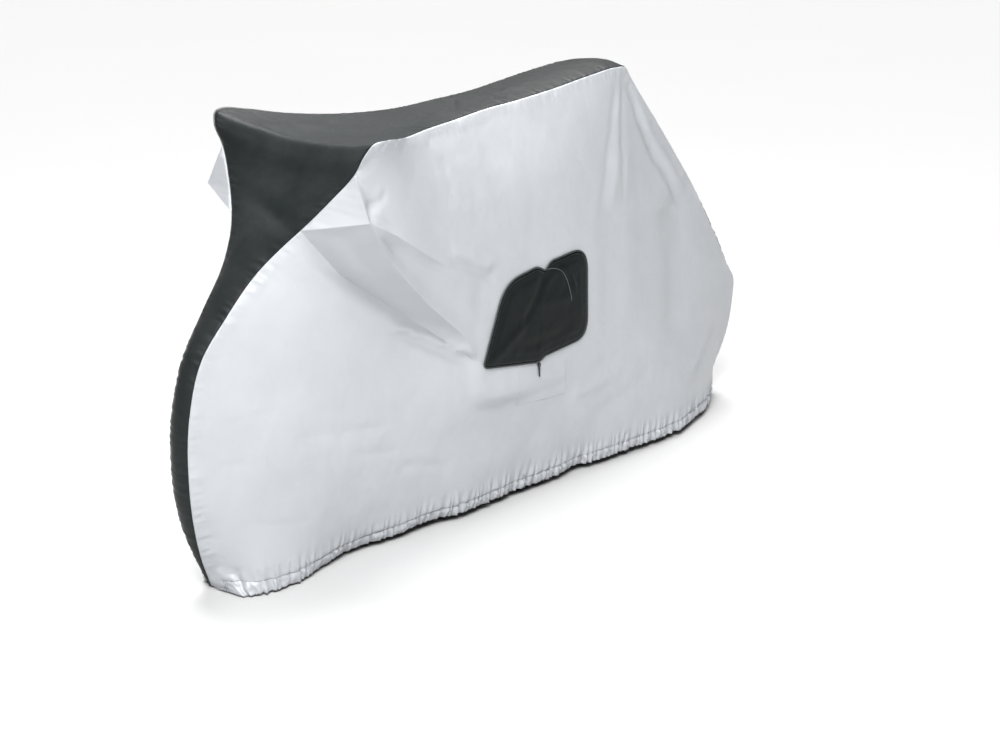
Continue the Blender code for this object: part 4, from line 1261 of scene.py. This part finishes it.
def make_lights():
    world = bpy.data.worlds.new("studio")
    bpy.context.scene.world = world
    world.use_nodes = True
    background = world.node_tree.nodes["Background"]
    background.inputs["Color"].default_value = (1.0, 1.0, 1.0, 1.0)
    background.inputs["Strength"].default_value = WORLD_STRENGTH
    for name, (turn, rise, distance, size, power) in SOFT_BOXES.items():
        light = bpy.data.lights.new(name, "AREA")
        light.size, light.energy = size, power
        face_target(light, LIGHT_AIM, turn, rise, distance)
    for name, (turn, rise, strength, angle) in SUNS.items():
        light = bpy.data.lights.new(name, "SUN")
        light.angle, light.energy = math.radians(angle), strength
        face_target(light, LIGHT_AIM, turn, rise, SUN_DISTANCE)


def make_camera():
    data = bpy.data.cameras.new("camera")
    data.sensor_width, data.lens, data.clip_end = CAMERA_SENSOR, CAMERA_LENS, CAMERA_REACH
    bpy.context.scene.camera = face_target(data, CAMERA_TARGET, CAMERA_TURN, CAMERA_RISE, CAMERA_DISTANCE)


# ---------------------------------------------------------------- the scene
def dress(piece, node=None):
    """The piece is parented to the root body. It may stand for a CAD node, which is then hidden."""
    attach(piece, "root")
    if node:
        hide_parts(node)


def make_panels(outline):
    """The side panels, the gusset and their stitches. Returns the near panel and the dark thread."""
    panels, gusset = make_sheets(outline, silver_material(), charcoal_material())
    dark_thread = thread_material("dark_thread", *DARK_THREAD)
    light_thread = thread_material("light_thread", *LIGHT_THREAD)
    for name, (cloth, tree, hem) in panels.items():
        stitches = hem_stitches(name + "_hem_stitches", tree, hem, SIDES[name], dark_thread)
        dress(stitches)
        dress(cloth, name + "_side_panel")
    dress(gusset, "centre_gusset")
    near, tree, _ = panels["near"]
    patch = on_cloth(tree, evenly_spaced(columns(PATCH_LINE), POUCH_STITCH), SIDES["near"])
    stitches = stitch_mesh("patch_stitches", *patch, POUCH_STITCH, POUCH_THREAD, light_thread)
    dress(stitches)
    return near, dark_thread


def make_pouch(outline, near, dark_thread):
    """The pouch's panel on the near panel, with its stitches, its flap's binding and its zip tape."""
    panel, tree = make_pouch_panel(outline, pouch_material())
    inset = on_pouch(tree, closed_run(offset_outline(outline, -POUCH_INSET), POUCH_STITCH))
    stitches = stitch_mesh("pouch_stitches", *inset, POUCH_STITCH, POUCH_THREAD, dark_thread)
    binding = make_flap_binding(tree, dark_thread)
    tape = make_zip_tape(outline, tape_material())
    dress(stitches)
    dress(binding)
    dress(panel, "pouch_panel")
    dress(tape, "pouch_piping")


def paint_pull():
    """The zip's slider and pull stay as the CAD has them, painted."""
    paint = pull_material()
    for node in ("zip_slider", "zip_puller"):
        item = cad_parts[node]
        item.data.materials.clear()
        item.data.materials.append(paint)


def main():
    make_camera()
    outline = rounded_outline(columns(POUCH_CORNERS))
    make_pouch(outline, *make_panels(outline))
    paint_pull()
    make_stage()
    make_lights()
    scene = bpy.context.scene
    scene.view_settings.view_transform = "Standard"
    scene.view_settings.look = "None"


main()
